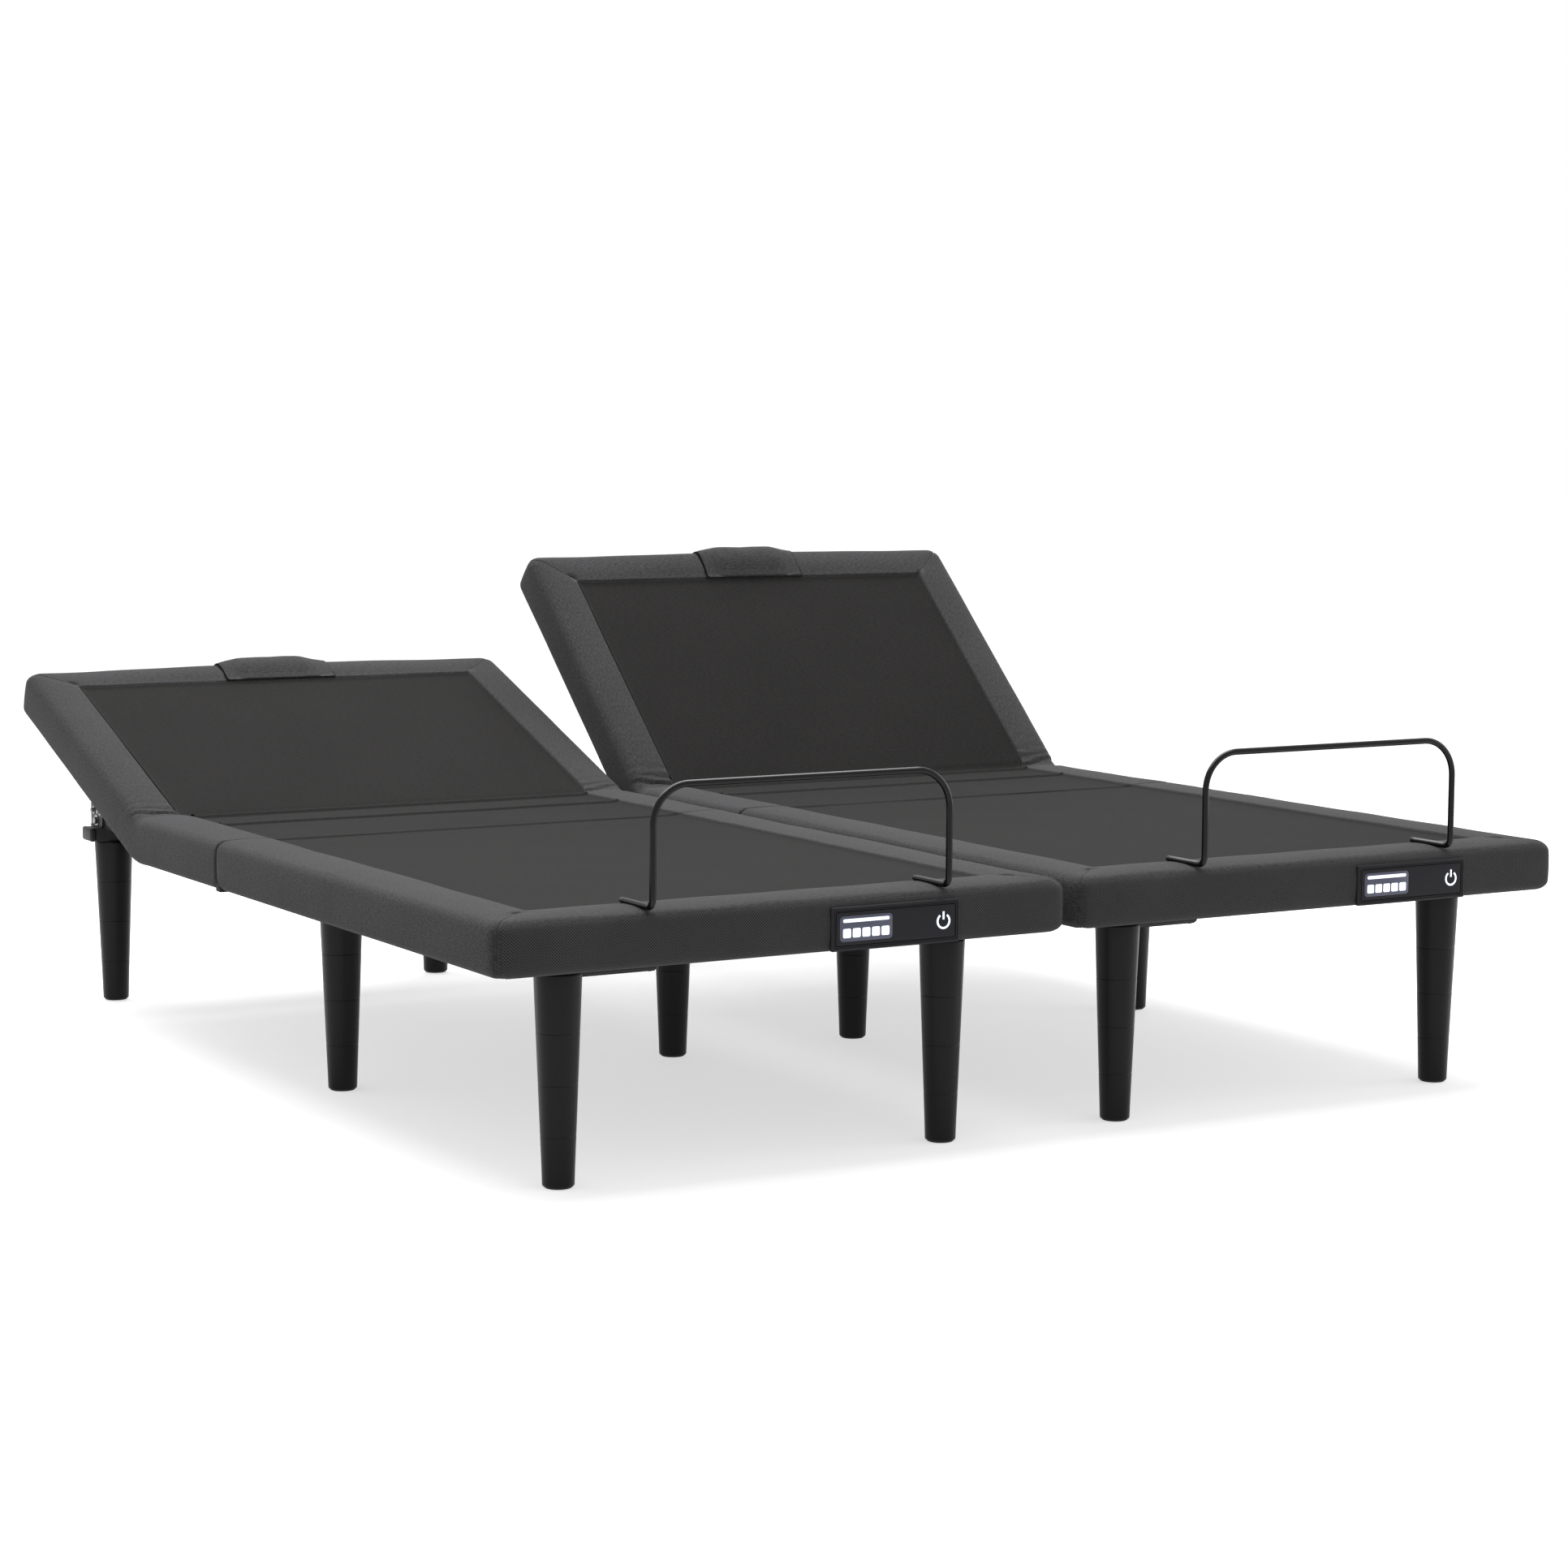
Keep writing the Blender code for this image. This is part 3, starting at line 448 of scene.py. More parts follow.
def swell(obj, pressure, cap):
    """Puffs padded fabric out between its seams with a cloth simulation, then keeps the result as mesh."""
    mesh = obj.data
    held = np.empty(len(mesh.vertices), np.float32)
    mesh.attributes["held"].data.foreach_get("value", held)
    mesh.attributes.remove(mesh.attributes["held"])
    before = np.empty(len(mesh.vertices) * 3)
    mesh.vertices.foreach_get("co", before)
    group = obj.vertex_groups.new(name="held")
    for index, value in enumerate(held):
        if value > 0.01:
            group.add([index], float(value), "REPLACE")
    cloth = obj.modifiers.new("cloth", "CLOTH")
    settings = cloth.settings
    settings.quality = 5
    settings.mass = 0.15
    settings.tension_stiffness = settings.compression_stiffness = 12.0
    settings.shear_stiffness = 6.0
    settings.bending_stiffness = 0.4
    settings.vertex_group_mass = "held"
    settings.use_pressure = True
    settings.uniform_pressure_force = pressure
    settings.effector_weights.gravity = 0.0
    cloth.collision_settings.use_collision = False
    cloth.point_cache.frame_start = 1
    cloth.point_cache.frame_end = CLOTH_FRAMES
    scene = bpy.context.scene
    for step in range(1, CLOTH_FRAMES + 1):
        scene.frame_set(step)
    shown = obj.evaluated_get(bpy.context.evaluated_depsgraph_get())
    after = np.empty(len(mesh.vertices) * 3)
    shown.data.vertices.foreach_get("co", after)
    shift = (after - before).reshape(-1, 3)
    size = np.linalg.norm(shift, axis=1)
    shift *= (cap * np.tanh(size / cap) / np.maximum(size, 1e-9))[:, None]
    obj.modifiers.clear()
    obj.vertex_groups.clear()
    mesh.vertices.foreach_set("co", before + shift.ravel())
    mesh.update()
    scene.frame_set(1)
    return obj


def smoothstep(t):
    t = np.clip(t, 0.0, 1.0)
    return t * t * (3.0 - 2.0 * t)


def ripple(x, y, seed):
    """Slow uneven waves from -1 to 1, the same on every run."""
    a = np.sin(x * 7.3 + seed) * np.cos(y * 5.1 - 2.0 * seed)
    b = np.sin(x * 17.7 - 1.7 * seed + 3.0 * np.sin(y * 6.1 + seed))
    return 0.6 * a + 0.4 * b


# ---------------------------------------------------------------- upholstered borders
def section(width, inset, lift):
    """A border's cross-section, from the lip's inner edge round: distance from the outer face, and height."""
    low = -BORDER_HEIGHT + inset + lift
    corners = [
        (width - inset, -LIP + inset, 0.001, 2), (width - inset, -inset, 0.0045, 4),
        (inset, -inset, 0.019, 7), (inset, low, 0.015, 6),
        (WALL - inset, low, 0.008, 4), (WALL - inset, -LIP + inset, 0.001, 2),
    ]
    between = (0, 9, 7, 1, 5, 6)
    count = len(corners)
    places = [np.array(c[:2]) for c in corners]
    radii = [c[2] for c in corners]
    for k in range(count):
        n = (k + 1) % count
        long = np.linalg.norm(places[n] - places[k])
        if radii[k] + radii[n] > 0.96 * long:
            share = 0.96 * long / (radii[k] + radii[n])
            radii[k] *= share
            radii[n] *= share
    points = []
    for k in range(count):
        into = places[k] - places[k - 1]
        out = places[(k + 1) % count] - places[k]
        u, v = into / np.linalg.norm(into), out / np.linalg.norm(out)
        r = radii[k]
        centre = places[k] - u * r + v * r
        for step in range(corners[k][3] + 1):
            a = math.pi / 2.0 * step / corners[k][3]
            points.append(centre + (u * math.sin(a) - v * math.cos(a)) * r)
        start = places[k] + v * r
        stop = places[(k + 1) % count] - v * radii[(k + 1) % count]
        for step in range(1, between[k] + 1):
            points.append(start + (stop - start) * step / (between[k] + 1))
    return np.array(points)


PLAN_RADIUS = 0.024
HEAD_RISE = 0.0042


def corner_stations(length, side_width, end_width):
    """Stations round one far corner: outer and inner plan points, border width, distance from the mitre."""
    near = (0.0, 0.0012, 0.0024, 0.0036, 0.005, 0.0064, 0.008, 0.011, 0.016, 0.024, 0.034, 0.046)
    arc = PLAN_RADIUS * math.pi / 4.0
    reach = 0.058
    centre = np.array((-HALF + PLAN_RADIUS, length - PLAN_RADIUS))
    inner_corner = np.array((-HALF + side_width, length - end_width))
    made = []
    for sign, along in [(-1.0, a) for a in reversed(near)] + [(1.0, a) for a in near[1:]]:
        if along <= arc:
            a = math.pi * 0.75 - sign * along / PLAN_RADIUS
            outer = centre + PLAN_RADIUS * np.array((math.cos(a), math.sin(a)))
        elif sign < 0.0:
            outer = np.array((-HALF, centre[1] - (along - arc)))
        else:
            outer = np.array((centre[0] + (along - arc), length))
        share = min(1.0, along / reach)
        if sign < 0.0:
            target = length - PLAN_RADIUS - (reach - arc)
            inner = inner_corner + np.array((0.0, (target - inner_corner[1]) * share))
        else:
            target = -HALF + PLAN_RADIUS + (reach - arc)
            inner = inner_corner + np.array(((target - inner_corner[0]) * share, 0.0))
        blend_in = smoothstep(0.5 + sign * share / 2.0)
        width = side_width + (end_width - side_width) * float(blend_in)
        made.append((outer, inner, width, sign * along))
    first = (np.array((-HALF, length - PLAN_RADIUS - (reach - arc))), -reach, side_width)
    last = (np.array((-HALF + PLAN_RADIUS + (reach - arc), length)), reach, end_width)
    before = (first[0], first[0] + np.array((side_width, 0.0)), side_width, first[1])
    after = (last[0], last[0] - np.array((0.0, end_width)), end_width, last[1])
    return [before] + made + [after]


def head_rise(x, y):
    """How far the padding stands up along the middle of the head end, mostly at its outer edge."""
    across = np.clip(1.0 - (x / 0.36) ** 2, 0.0, 1.0)
    return HEAD_RISE * across * smoothstep((y - (HEAD_END - HEAD_END_WIDTH + 0.004)) / 0.045)


def side_width(y):
    """The border's top strip is narrower beside the head section."""
    return SIDE_WIDTH + (HEAD_SIDE_WIDTH - SIDE_WIDTH) * float(smoothstep((y - (HEAD_HINGE - 0.012)) / 0.03))


def turned_at_hinge(points, turn):
    """Flat points carried round the head hinge by turn, in radians."""
    points = np.array(points, float)
    s, h = points[:, 1] - HEAD_HINGE, points[:, 2] - DECK_Z
    points[:, 1] = HEAD_HINGE + s * np.cos(turn) - h * np.sin(turn)
    points[:, 2] = DECK_Z + s * np.sin(turn) + h * np.cos(turn)
    return points


def hinge_bend(points, angle, reach):
    """The same, fading in over reach to each side of the hinge, up to the angle that the head rests at."""
    share = smoothstep((points[:, 1] - HEAD_HINGE + reach) / (2.0 * reach))
    return turned_at_hinge(points, math.radians(angle) * share)


# place behind the hinge on the border's inner edge, how much further at its outer edge, height and spread
HEAD_FOLDS = (
    (0.001, 0.02, -0.005, 0.0032), (0.011, 0.016, 0.0034, 0.0042), (0.023, 0.01, -0.0016, 0.0034),
    (0.034, 0.006, 0.0009, 0.004), (0.047, 0.004, -0.0006, 0.0036), (0.06, 0.003, 0.0004, 0.004),
)


def head_crease(ring, points, width, angle):
    """Folds that the fabric takes on the inside of the head hinge."""
    size = 0.6 + 0.4 * angle / HEAD_ANGLE["right"]
    s = ring[:, 1] - HEAD_HINGE
    outward = np.clip(1.0 - points[:, 0] / width, 0.0, 1.0)
    on_top = smoothstep((points[:, 1] + 0.022) / 0.012)
    change = np.zeros(len(ring))
    for place, slope, height, spread in HEAD_FOLDS:
        wander = 0.0025 * np.sin(outward * 9.0 + place * 200.0 + np.sign(ring[:, 0]) * 1.3)
        change += size * height * np.exp(-(((s - place - slope * outward - wander) / spread) ** 2))
    ring[:, 2] += change * on_top * (1.0 - 0.55 * outward)
    return ring


def cover_plan(start_y, direction, length, end_width, fine):
    """Stations along a U: outer and inner plan points, width, distance from a mitre and from the open end."""
    corner = corner_stations(length, side_width(start_y + direction * length), end_width)
    side_end = corner[0][0][1]
    places = [0.0, 0.0008, 0.002, 0.004, 0.0075, 0.013] + spaced(0.02, side_end - 0.02, 0.022) + fine
    plan = []
    for v in sorted({round(v, 5) for v in places if v < side_end - 0.01}):
        width = side_width(start_y + direction * v)
        plan.append((np.array((-HALF, v)), np.array((-HALF + width, v)), width, None, v))
    plan += [(*station, None) for station in corner]
    for x in spaced(corner[-1][0][0], 0.0, 0.024)[1:]:
        plan.append((np.array((x, length)), np.array((x, length - end_width)), end_width, None, None))
    mirror = np.array((-1.0, 1.0))
    return plan + [(o * mirror, i * mirror, w, m, v) for o, i, w, m, v in reversed(plan[:-1])]


def cover_section(width, mitre, v):
    """The cross-section at one station, drawn in at the U's open ends and pressed in along corner seams."""
    inset, groove, lift = 0.0, 0.0, 0.0
    if v is not None:
        inset = 0.0028 * math.exp(-((v / 0.0016) ** 1.2))
        lift = 0.007 * math.exp(-((v / 0.009) ** 2))
    if mitre is not None:
        inset += 0.0012 * math.exp(-((mitre / 0.0016) ** 2))
        groove = 0.0011 * math.exp(-(((abs(mitre) - 0.005) / 0.0013) ** 2))
    points = section(width, inset, lift)
    pressed = section(width, inset + groove, lift)
    on_wall = smoothstep((-0.014 - points[:, 1]) / 0.006) * smoothstep((0.02 - points[:, 0]) / 0.01)
    return points + (pressed - points) * on_wall[:, None]


def held_down(points, width, mitre, v):
    """Fabric is free to swell on the top strip and the wall, away from edges, seams and the U's open ends."""
    d, z = points[:, 0], points[:, 1]
    top = (z > -0.004) * smoothstep((d - 0.004) / 0.014) * smoothstep((width - 0.004 - d) / 0.012)
    wall = (d < 0.006) * smoothstep((-z - 0.006) / 0.014) * smoothstep((z + BORDER_HEIGHT - 0.006) / 0.012)
    free = np.maximum(top, wall)
    if v is not None:
        free = free * float(smoothstep((v - 0.002) / 0.014))
    if mitre is not None:
        free = free * float(smoothstep((abs(mitre) - 0.007) / 0.014))
    return 1.0 - free


def u_cover(name, side, start_y, direction, length, end_width, fine, seed, angle=None):
    """A padded U-shaped border, cut flat and puffed. With an angle it is creased and bent at the head hinge,
    and without one its end wall is mesh cloth."""
    plan = cover_plan(start_y, direction, length, end_width, fine)
    rings, vs, sections, held = [], [], [], []
    for outer, inner, width, mitre, v in plan:
        points = cover_section(width, mitre, v)
        on_top, outside = points[:, 1] > -0.0035, points[:, 0] < 0.006
        inward = inner - outer
        unit_in = inward / np.linalg.norm(inward)
        crown = 0.0011 * np.sin(np.pi * np.clip((points[:, 0] - 0.008) / (width - 0.012), 0.0, 1.0)) * on_top
        bulge = 0.0016 * np.sin(np.pi * np.clip(-points[:, 1] / BORDER_HEIGHT, 0.0, 1.0)) * outside
        xy = outer + inward * (points[:, 0] / width)[:, None] - unit_in * bulge[:, None]
        uneven = 0.0007 * ripple(xy[:, 0] * 2.0, xy[:, 1] * 2.0, seed)
        z = points[:, 1] + crown + uneven * on_top * (points[:, 0] > 0.006)
        z += head_rise(xy[:, 0], start_y + direction * xy[:, 1]) * smoothstep((points[:, 1] + 0.03) / 0.026)
        xy -= unit_in * (uneven * outside)[:, None]
        ring = np.column_stack((xy[:, 0], start_y + direction * xy[:, 1], DECK_Z + z))
        if angle is not None:
            ring = hinge_bend(head_crease(ring, points, width, angle), angle, COVER_REACH)
        rings.append(ring)
        vs.append(run_along(np.vstack((points, points[:1]))))
        sections.append(points)
        held.append(held_down(points, width, mitre, v))

    def pick(i, j):
        """The foot end's wall is the mesh cloth, from just past one corner seam to the other."""
        outer, mitre = plan[i][0], plan[i][3]
        at_end = abs(outer[1] - length) < 1e-4 or (mitre is not None and mitre > 0.0049)
        d, z = sections[i][j]
        return 1 if angle is None and at_end and ((d < 0.0155 and -0.0825 < z < -0.0045) or z < -0.07) else 0

    half = HALF - WALL / 2.0
    caps = [(i, (x, start_y, DECK_Z - 0.003)) for i, x in ((0, -half), (len(rings) - 1, half))]
    us = run_along([station[0] for station in plan])
    mesh = grid_mesh(name, rings, us, vs, pick=pick, caps=caps, held=np.concatenate(held))
    materials = [SIDE_CLOTH, FOOT_CLOTH] if angle is None else [SIDE_CLOTH]
    return place_at(swell(new_object(name, mesh, materials), 1.5, 0.003), side)


def place_at(obj, side):
    obj.data.transform(Matrix.Translation((UNIT_X[side], FOOT_Y, 0.0)))
    return obj


def blend_at_head(piece, side):
    """Bakes a piece's placing into its mesh. The hinge point worked out here is not used; the bend round the
    head hinge is made where the piece is built.
    """
    hinge = at(side, 0.0, HEAD_HINGE, DECK_Z)
    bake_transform(piece)


def blend_at_knee(piece, side):
    start, end = [at(side, 0.0, KNEE + reach, DECK_Z - BORDER_HEIGHT) for reach in (BEND_REACH, -BEND_REACH)]
    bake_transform(piece)
    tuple(start)
    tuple(end)


SLIT = 0.0017                       # half of the gap between the borders of the seat and of the legs
HINGE_FINE = [HEAD_HINGE - SEAT_START + k * 0.003 for k in range(-22, 28)]
KNEE_FINE = [SEAT_START - KNEE + k * 0.009 for k in range(-7, 8)]
COVER_SEEDS = {"left": (1.0, 4.1), "right": (2.3, 5.7)}
for side, angle in HEAD_ANGLE.items():
    start, seeds = SEAT_START + SLIT, COVER_SEEDS[side]
    name = f"{side}_seat_head_cover"
    cover = u_cover(name, side, start, 1.0, HEAD_END - start, HEAD_END_WIDTH, HINGE_FINE, seeds[0], angle)
    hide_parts(f"{side}_head_upholstery", f"{side}_seat_rail_left", f"{side}_seat_rail_right")
    blend_at_head(cover, side)
    start = SEAT_START - SLIT
    cover = u_cover(f"{side}_leg_cover", side, start, -1.0, start, FOOT_WIDTH, KNEE_FINE, seeds[1])
    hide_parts(f"{side}_foot_upholstery", f"{side}_thigh_rail_left", f"{side}_thigh_rail_right")
    blend_at_knee(cover, side)


# ---------------------------------------------------------------- deck cloth
CLOTH_TOP = -0.0049                 # the stretched cloth's upper face, below the borders' top
CLOTH_THICK = 0.0013


def deck_sheet(name, side, y_from, y_to, ridges, seed, fine, angle=None):
    """Cloth stretched over the boards between the borders' lips, and bent at the head hinge with an angle."""
    far_edge, inward = (y_to, -0.002) if angle is not None else (y_from, 0.002)
    fine = [y for y in fine if y_from < y < y_to] + [far_edge + k * inward for k in range(8)]
    edges = (0.95, 0.97, 0.98, 0.985, 0.99, 0.995, 1.0)
    shares = np.array([-e for e in reversed(edges)] + [k / 14.0 for k in range(-12, 13)] + list(edges))
    rings = []
    ys = sorted({round(y, 5) for y in spaced(y_from, y_to, 0.022) + fine})
    for y in ys:
        half = HALF - side_width(y) - 0.0008
        x, same_y = shares * half, np.full(len(shares), y)
        from_side = (1.0 - np.abs(shares)) * half
        z = np.full(len(x), DECK_Z + CLOTH_TOP)
        for place, height, spread in ridges:
            z += height * np.exp(-(((y - place) / spread) ** 2))
        calm = 1.0 - 0.9 * math.exp(-(((y - HEAD_HINGE) / 0.07) ** 2))
        z += 0.0004 * ripple(x * 1.4, same_y * 1.7, seed) * np.minimum(1.0, from_side / 0.03) * calm
        z += 0.003 * np.exp(-((np.minimum(from_side, abs(y - far_edge)) / 0.0065) ** 1.5))
        ring = np.column_stack((x, same_y, z))
        rings.append(ring if angle is None else hinge_bend(ring, angle, SHEET_REACH))
    mesh = grid_mesh(name, rings, [shares * (HALF - side_width(y) - 0.0008) for y in ys], ys, False)
    if mesh.polygons[0].normal.z < 0.0:
        mesh.flip_normals()
    cloth = new_object(name, mesh, [DECK_CLOTH])
    thick = cloth.modifiers.new("thickness", "SOLIDIFY")
    thick.thickness = CLOTH_THICK
    thick.offset = -1.0
    apply_modifiers(cloth)
    place_at(cloth, side)
    return cloth


# ridges across the cloth: place along the unit, height and spread
STRIP = [(1.2766, -0.001, 0.0022), (1.2836, 0.0034, 0.0034), (1.293, 0.0016, 0.007),
         (1.3985, -0.0009, 0.0016), (1.407, 0.0046, 0.005), (1.416, 0.004, 0.006)]
SEAT_TUCK = [(1.056, 0.0007, 0.0022), (1.062, -0.0003, 0.0016)]
LEG_TUCK = [(1.044, 0.0007, 0.0022), (1.038, -0.0003, 0.0016)]
HEAD_SHEET_FINE = [1.265 + k * 0.0022 for k in range(100)]
LEG_SHEET_FINE = [KNEE + k * 0.009 for k in range(-7, 8)] + [1.03 + k * 0.0015 for k in range(12)]
CLOTH_GAP = 0.0009                  # from each cloth's edge to the middle of the slit at the thigh hinge
SHEET_SEEDS = {"left": (0.7, 1.9), "right": (3.1, 4.4)}
for side, angle in HEAD_ANGLE.items():
    seeds = SHEET_SEEDS[side]
    name, start, end = f"{side}_seat_head_cloth", SEAT_START + CLOTH_GAP, HEAD_END - HEAD_END_WIDTH - 0.0008
    cloth = deck_sheet(name, side, start, end, STRIP + SEAT_TUCK, seeds[0], HEAD_SHEET_FINE, angle)
    blend_at_head(cloth, side)
    start, end = FOOT_WIDTH + 0.0008, SEAT_START - CLOTH_GAP
    cloth = deck_sheet(f"{side}_leg_cloth", side, start, end, LEG_TUCK, seeds[1], LEG_SHEET_FINE)
    blend_at_knee(cloth, side)


# ---------------------------------------------------------------- pod over the middle of the head end
POD_HALF = 0.1125
POD_MIDDLE = 0.004                  # the sleeve sits this far to the right of the middle
POD_DROP = 0.07
POD_BEND = 0.019                    # how the sleeve turns over the border's outer edge
POD_EDGE = (0.0, 0.0008, 0.002, 0.0034, 0.0048, 0.0066, 0.0094)
POD_HEIGHT = ((-0.1125, 0.003), (-0.1085, 0.004), (-0.104, 0.0052), (-0.069, 0.0122), (-0.059, 0.0128),
              (0.05, 0.0128), (0.06, 0.012), (0.09, 0.0052), (0.104, 0.0034), (0.1125, 0.0024))


def pod_ring(x, inset):
    """The sleeve's outline at one place across: along its inside, then back along its padded outside."""
    thick = float(np.interp(x, *zip(*POD_HEIGHT))) * (1.0 - 0.55 * inset)
    wall_thick = thick * 0.62
    path = [(HEAD_END_WIDTH - (HEAD_END_WIDTH - POD_BEND) * k / 11.0, 0.0, 0.0, 1.0) for k in range(12)]
    for k in range(1, 8):
        s, c = math.sin(math.pi / 2.0 * k / 8.0), math.cos(math.pi / 2.0 * k / 8.0)
        path.append((POD_BEND - POD_BEND * s, -POD_BEND + POD_BEND * c, -s, c))
    path += [(0.0, -POD_BEND - (POD_DROP - POD_BEND) * k / 8.0, -1.0, 0.0) for k in range(9)]
    inner, outer = [], []
    last = len(path) - 1
    for k, (d, z, nd, nz) in enumerate(path):
        along = k / last
        over = thick + (wall_thick - thick) * smoothstep((along - 0.4) / 0.3)
        near = float(smoothstep((k + 1.0) / 9.0)) ** 0.75
        far = min(1.0, (last - k) / 3.0) ** 0.5
        full = over * (1.0 + 0.1 * math.sin(math.pi * along))
        t = 0.0016 + (full - 0.0012) * min(near, 0.25 + 0.75 * far)
        inner.append((d + nd * 0.002, z + nz * 0.002))
        outer.append((d + nd * t, z + nz * t))
    return inner + outer[::-1]


def pod(side):
    """A padded sleeve, stitched down at both sides, on the border's head end."""
    name, seed = f"{side}_pod_sleeve", 0.4 if side == "left" else 1.9
    edges = [sign * (POD_HALF - e) for sign in (-1.0, 1.0) for e in POD_EDGE]
    xs = sorted({round(x, 5) for x in edges + spaced(-0.102, 0.102, 0.0049)})
    rings, vs, held = [], [], []
    for x in xs:
        from_edge = POD_HALF - abs(x)
        inset = math.exp(-((min(from_edge, 0.006) / 0.0012) ** 2))
        ring = np.array(pod_ring(x, inset))
        size = len(ring)
        across, ys = np.full(size, x + POD_MIDDLE), HEAD_END - ring[:, 0]
        zs = DECK_Z + ring[:, 1] + head_rise(across, ys) * smoothstep((ring[:, 1] + 0.03) / 0.026)
        wave = 0.0006 * ripple(np.full(size, x * 6.0), ys * 9.0, seed) * (1.0 - inset)
        stitch = 0.0009 * math.exp(-((from_edge - 0.0066) / 0.0014) ** 2)
        zs += (wave - stitch) * (np.arange(size) >= size // 2)
        rings.append(np.column_stack((across, ys, zs)))
        ends = np.minimum(np.arange(size) - size // 2, size - 1 - np.arange(size))
        free = smoothstep((ends - 1.0) / 3.0) * float(smoothstep((from_edge - 0.0075) / 0.01))
        held.append(np.where(np.arange(size) < size // 2 + 2, 1.0, 1.0 - free))
        vs.append(run_along(np.vstack((ring, ring[:1]))))

    def pick(i, _):
        """Both sewn ends show the seam, in near-black cloth: painted shade for the narrow gap at each end."""
        return 1 if xs[i] < -POD_HALF + 0.004 or xs[i + 1] >= POD_HALF - 0.001 else 0

    ends = [
        (first + k, first + k + 1, first + size - 2 - k, first + size - 1 - k)
        for first in (0, (len(rings) - 1) * size) for k in range(size // 2 - 1)
    ]
    mesh = grid_mesh(name, rings, xs, vs, pick=pick, extra=ends, held=np.concatenate(held))
    points = turned_at_hinge([v.co for v in mesh.vertices], math.radians(HEAD_ANGLE[side]))
    mesh.vertices.foreach_set("co", points.ravel())
    mesh.update()
    made = place_at(swell(new_object(name, mesh, [SIDE_CLOTH, SEAM_SHADE_CLOTH]), 4.0, 0.003), side)
    fit(made, "side_fabric", f"{side}_head", f"{side}_head_pod")


for side in HEAD_ANGLE:
    pod(side)


# ---------------------------------------------------------------- legs
LEG_JOINTS = (0.0762, 0.1524, 0.2286)


def turned_leg(side, row, place, x, y, height):
    """Four stacked segments with a line at each joint, a cut rim at the top and a rubber foot."""
    top = height - 0.0003

    def leg_radius(z):
        return 0.0235 + (0.0355 - 0.0235) * (z - 0.003) / (top - 0.003)

    profile = [(0.001, 0.0), (0.0192, 0.0), (0.0203, 0.0006), (0.0205, 0.0024), (0.0222, 0.0026)]
    for k in range(1, 6):
        a = math.pi / 2.0 * k / 5.0
        profile.append((0.0222 + 0.0016 * math.sin(a), 0.0026 + 0.0034 * (1.0 - math.cos(a))))
    for joint in LEG_JOINTS:
        profile += [(leg_radius(z), z) for z in spaced(profile[-1][1], joint - 0.0022, 0.02)[1:]]
        r = leg_radius(joint)
        line = ((-0.00005, -0.0009), (-0.0003, -0.0003), (-0.0004, 0.0), (-0.0003, 0.0003), (-0.00002, 0.0009))
        profile += [(r + deep, joint + along) for deep, along in line] + [(r + 0.00005, joint + 0.0024)]
    profile += [(leg_radius(z), z) for z in spaced(profile[-1][1], top - 0.004, 0.02)[1:]]
    profile += [(leg_radius(top) - 0.0004, top - 0.0012), (leg_radius(top) - 0.0014, top - 0.0001),
                (0.012, top - 0.0001), (0.001, top - 0.0001)]
    name = f"{side}_leg_{row}_{place}"
    materials, pick = [LEG_PLASTIC, RUBBER], lambda i, _: int(i < 4)
    made = lathe(f"{name}_turned", profile, at(side, x, y, 0.0), AXIS["z"], materials, 48, pick)
    fit(made, "leg_plastic", "root", name)


for side, outward in (("left", -1.0), ("right", 1.0)):
    for row, (y, reach, height) in LEG_ROWS.items():
        turned_leg(side, row, "outer", outward * reach, y, height)
        turned_leg(side, row, "inner", -outward * reach, y, height)


# ---------------------------------------------------------------- mattress retainers
ROD_RADIUS = 0.005


def arc_points(centre, radius, start, end, steps):
    angles = [math.radians(start + (end - start) * k / steps) for k in range(steps + 1)]
    return [(centre[0] + radius * math.cos(a), centre[1] + radius * math.sin(a)) for a in angles]


def retainer(side):
    """A bent rod: two feet on the border, two uprights and a top with round corners."""
    lying, upright, knee, reach, top = DECK_Z + 0.0003 + ROD_RADIUS, -0.005, 0.014, 0.25, 0.59
    foot = [(y, lying) for y in (0.092, 0.08, 0.06, 0.036, 0.016)]
    foot += arc_points((upright + knee, lying + knee), knee, 270.0, 180.0, 8)
    path = [(-reach, y, z) for y, z in foot] + [(-reach, upright, z) for z in (0.44, 0.46, 0.48, 0.5, 0.52)]
    path += [(x, upright, z) for x, z in arc_points((-0.192, 0.532), 0.058, 180.0, 90.0, 14)]
    path += [(x, upright, top) for x in (-0.15, -0.1, -0.05)]
    path += [(0.0, upright, top)] + [(-x, y, z) for x, y, z in reversed(path)]
    points = [at(side, x + RETAINER_SHIFT[side], y, z) for x, y, z in path]
    made = swept(f"{side}_retainer_rod", points, ROD_RADIUS, GLOSS_PAINT, 16)
    fit(made, "retainer_paint", f"{side}_foot", f"{side}_retainer_bar")


# ---------------------------------------------------------------- foot displays
# half width, half height and place in front of the foot wall for each step of the outline
BEZEL_STEPS = [
    (0.112, 0.0325, 0.0), (0.112, 0.0325, -0.0042), (0.1112, 0.0317, -0.0053), (0.1098, 0.0303, -0.006),
    (0.1082, 0.0287, -0.006), (0.1076, 0.0281, -0.0049), (0.1068, 0.0273, -0.0049), (0.1062, 0.0267, -0.0057),
    (0.1054, 0.0259, -0.0057), (0.1046, 0.0253, -0.0046), (0.1044, 0.0252, -0.0031),
]
WINDOW_STEPS = [(0.1038, 0.0248, -0.0032), (0.1039, 0.0249, -0.004), (0.1034, 0.0244, -0.0047),
                (0.101, 0.022, -0.0048)]
HALO_STEPS = [(0.0455, 0.019, 0.0001), (0.045, 0.0185, -0.0001)]
WINDOW_FACE = -0.00485
MARK_BACK, MARK_FACE = 0.0001, -0.0003


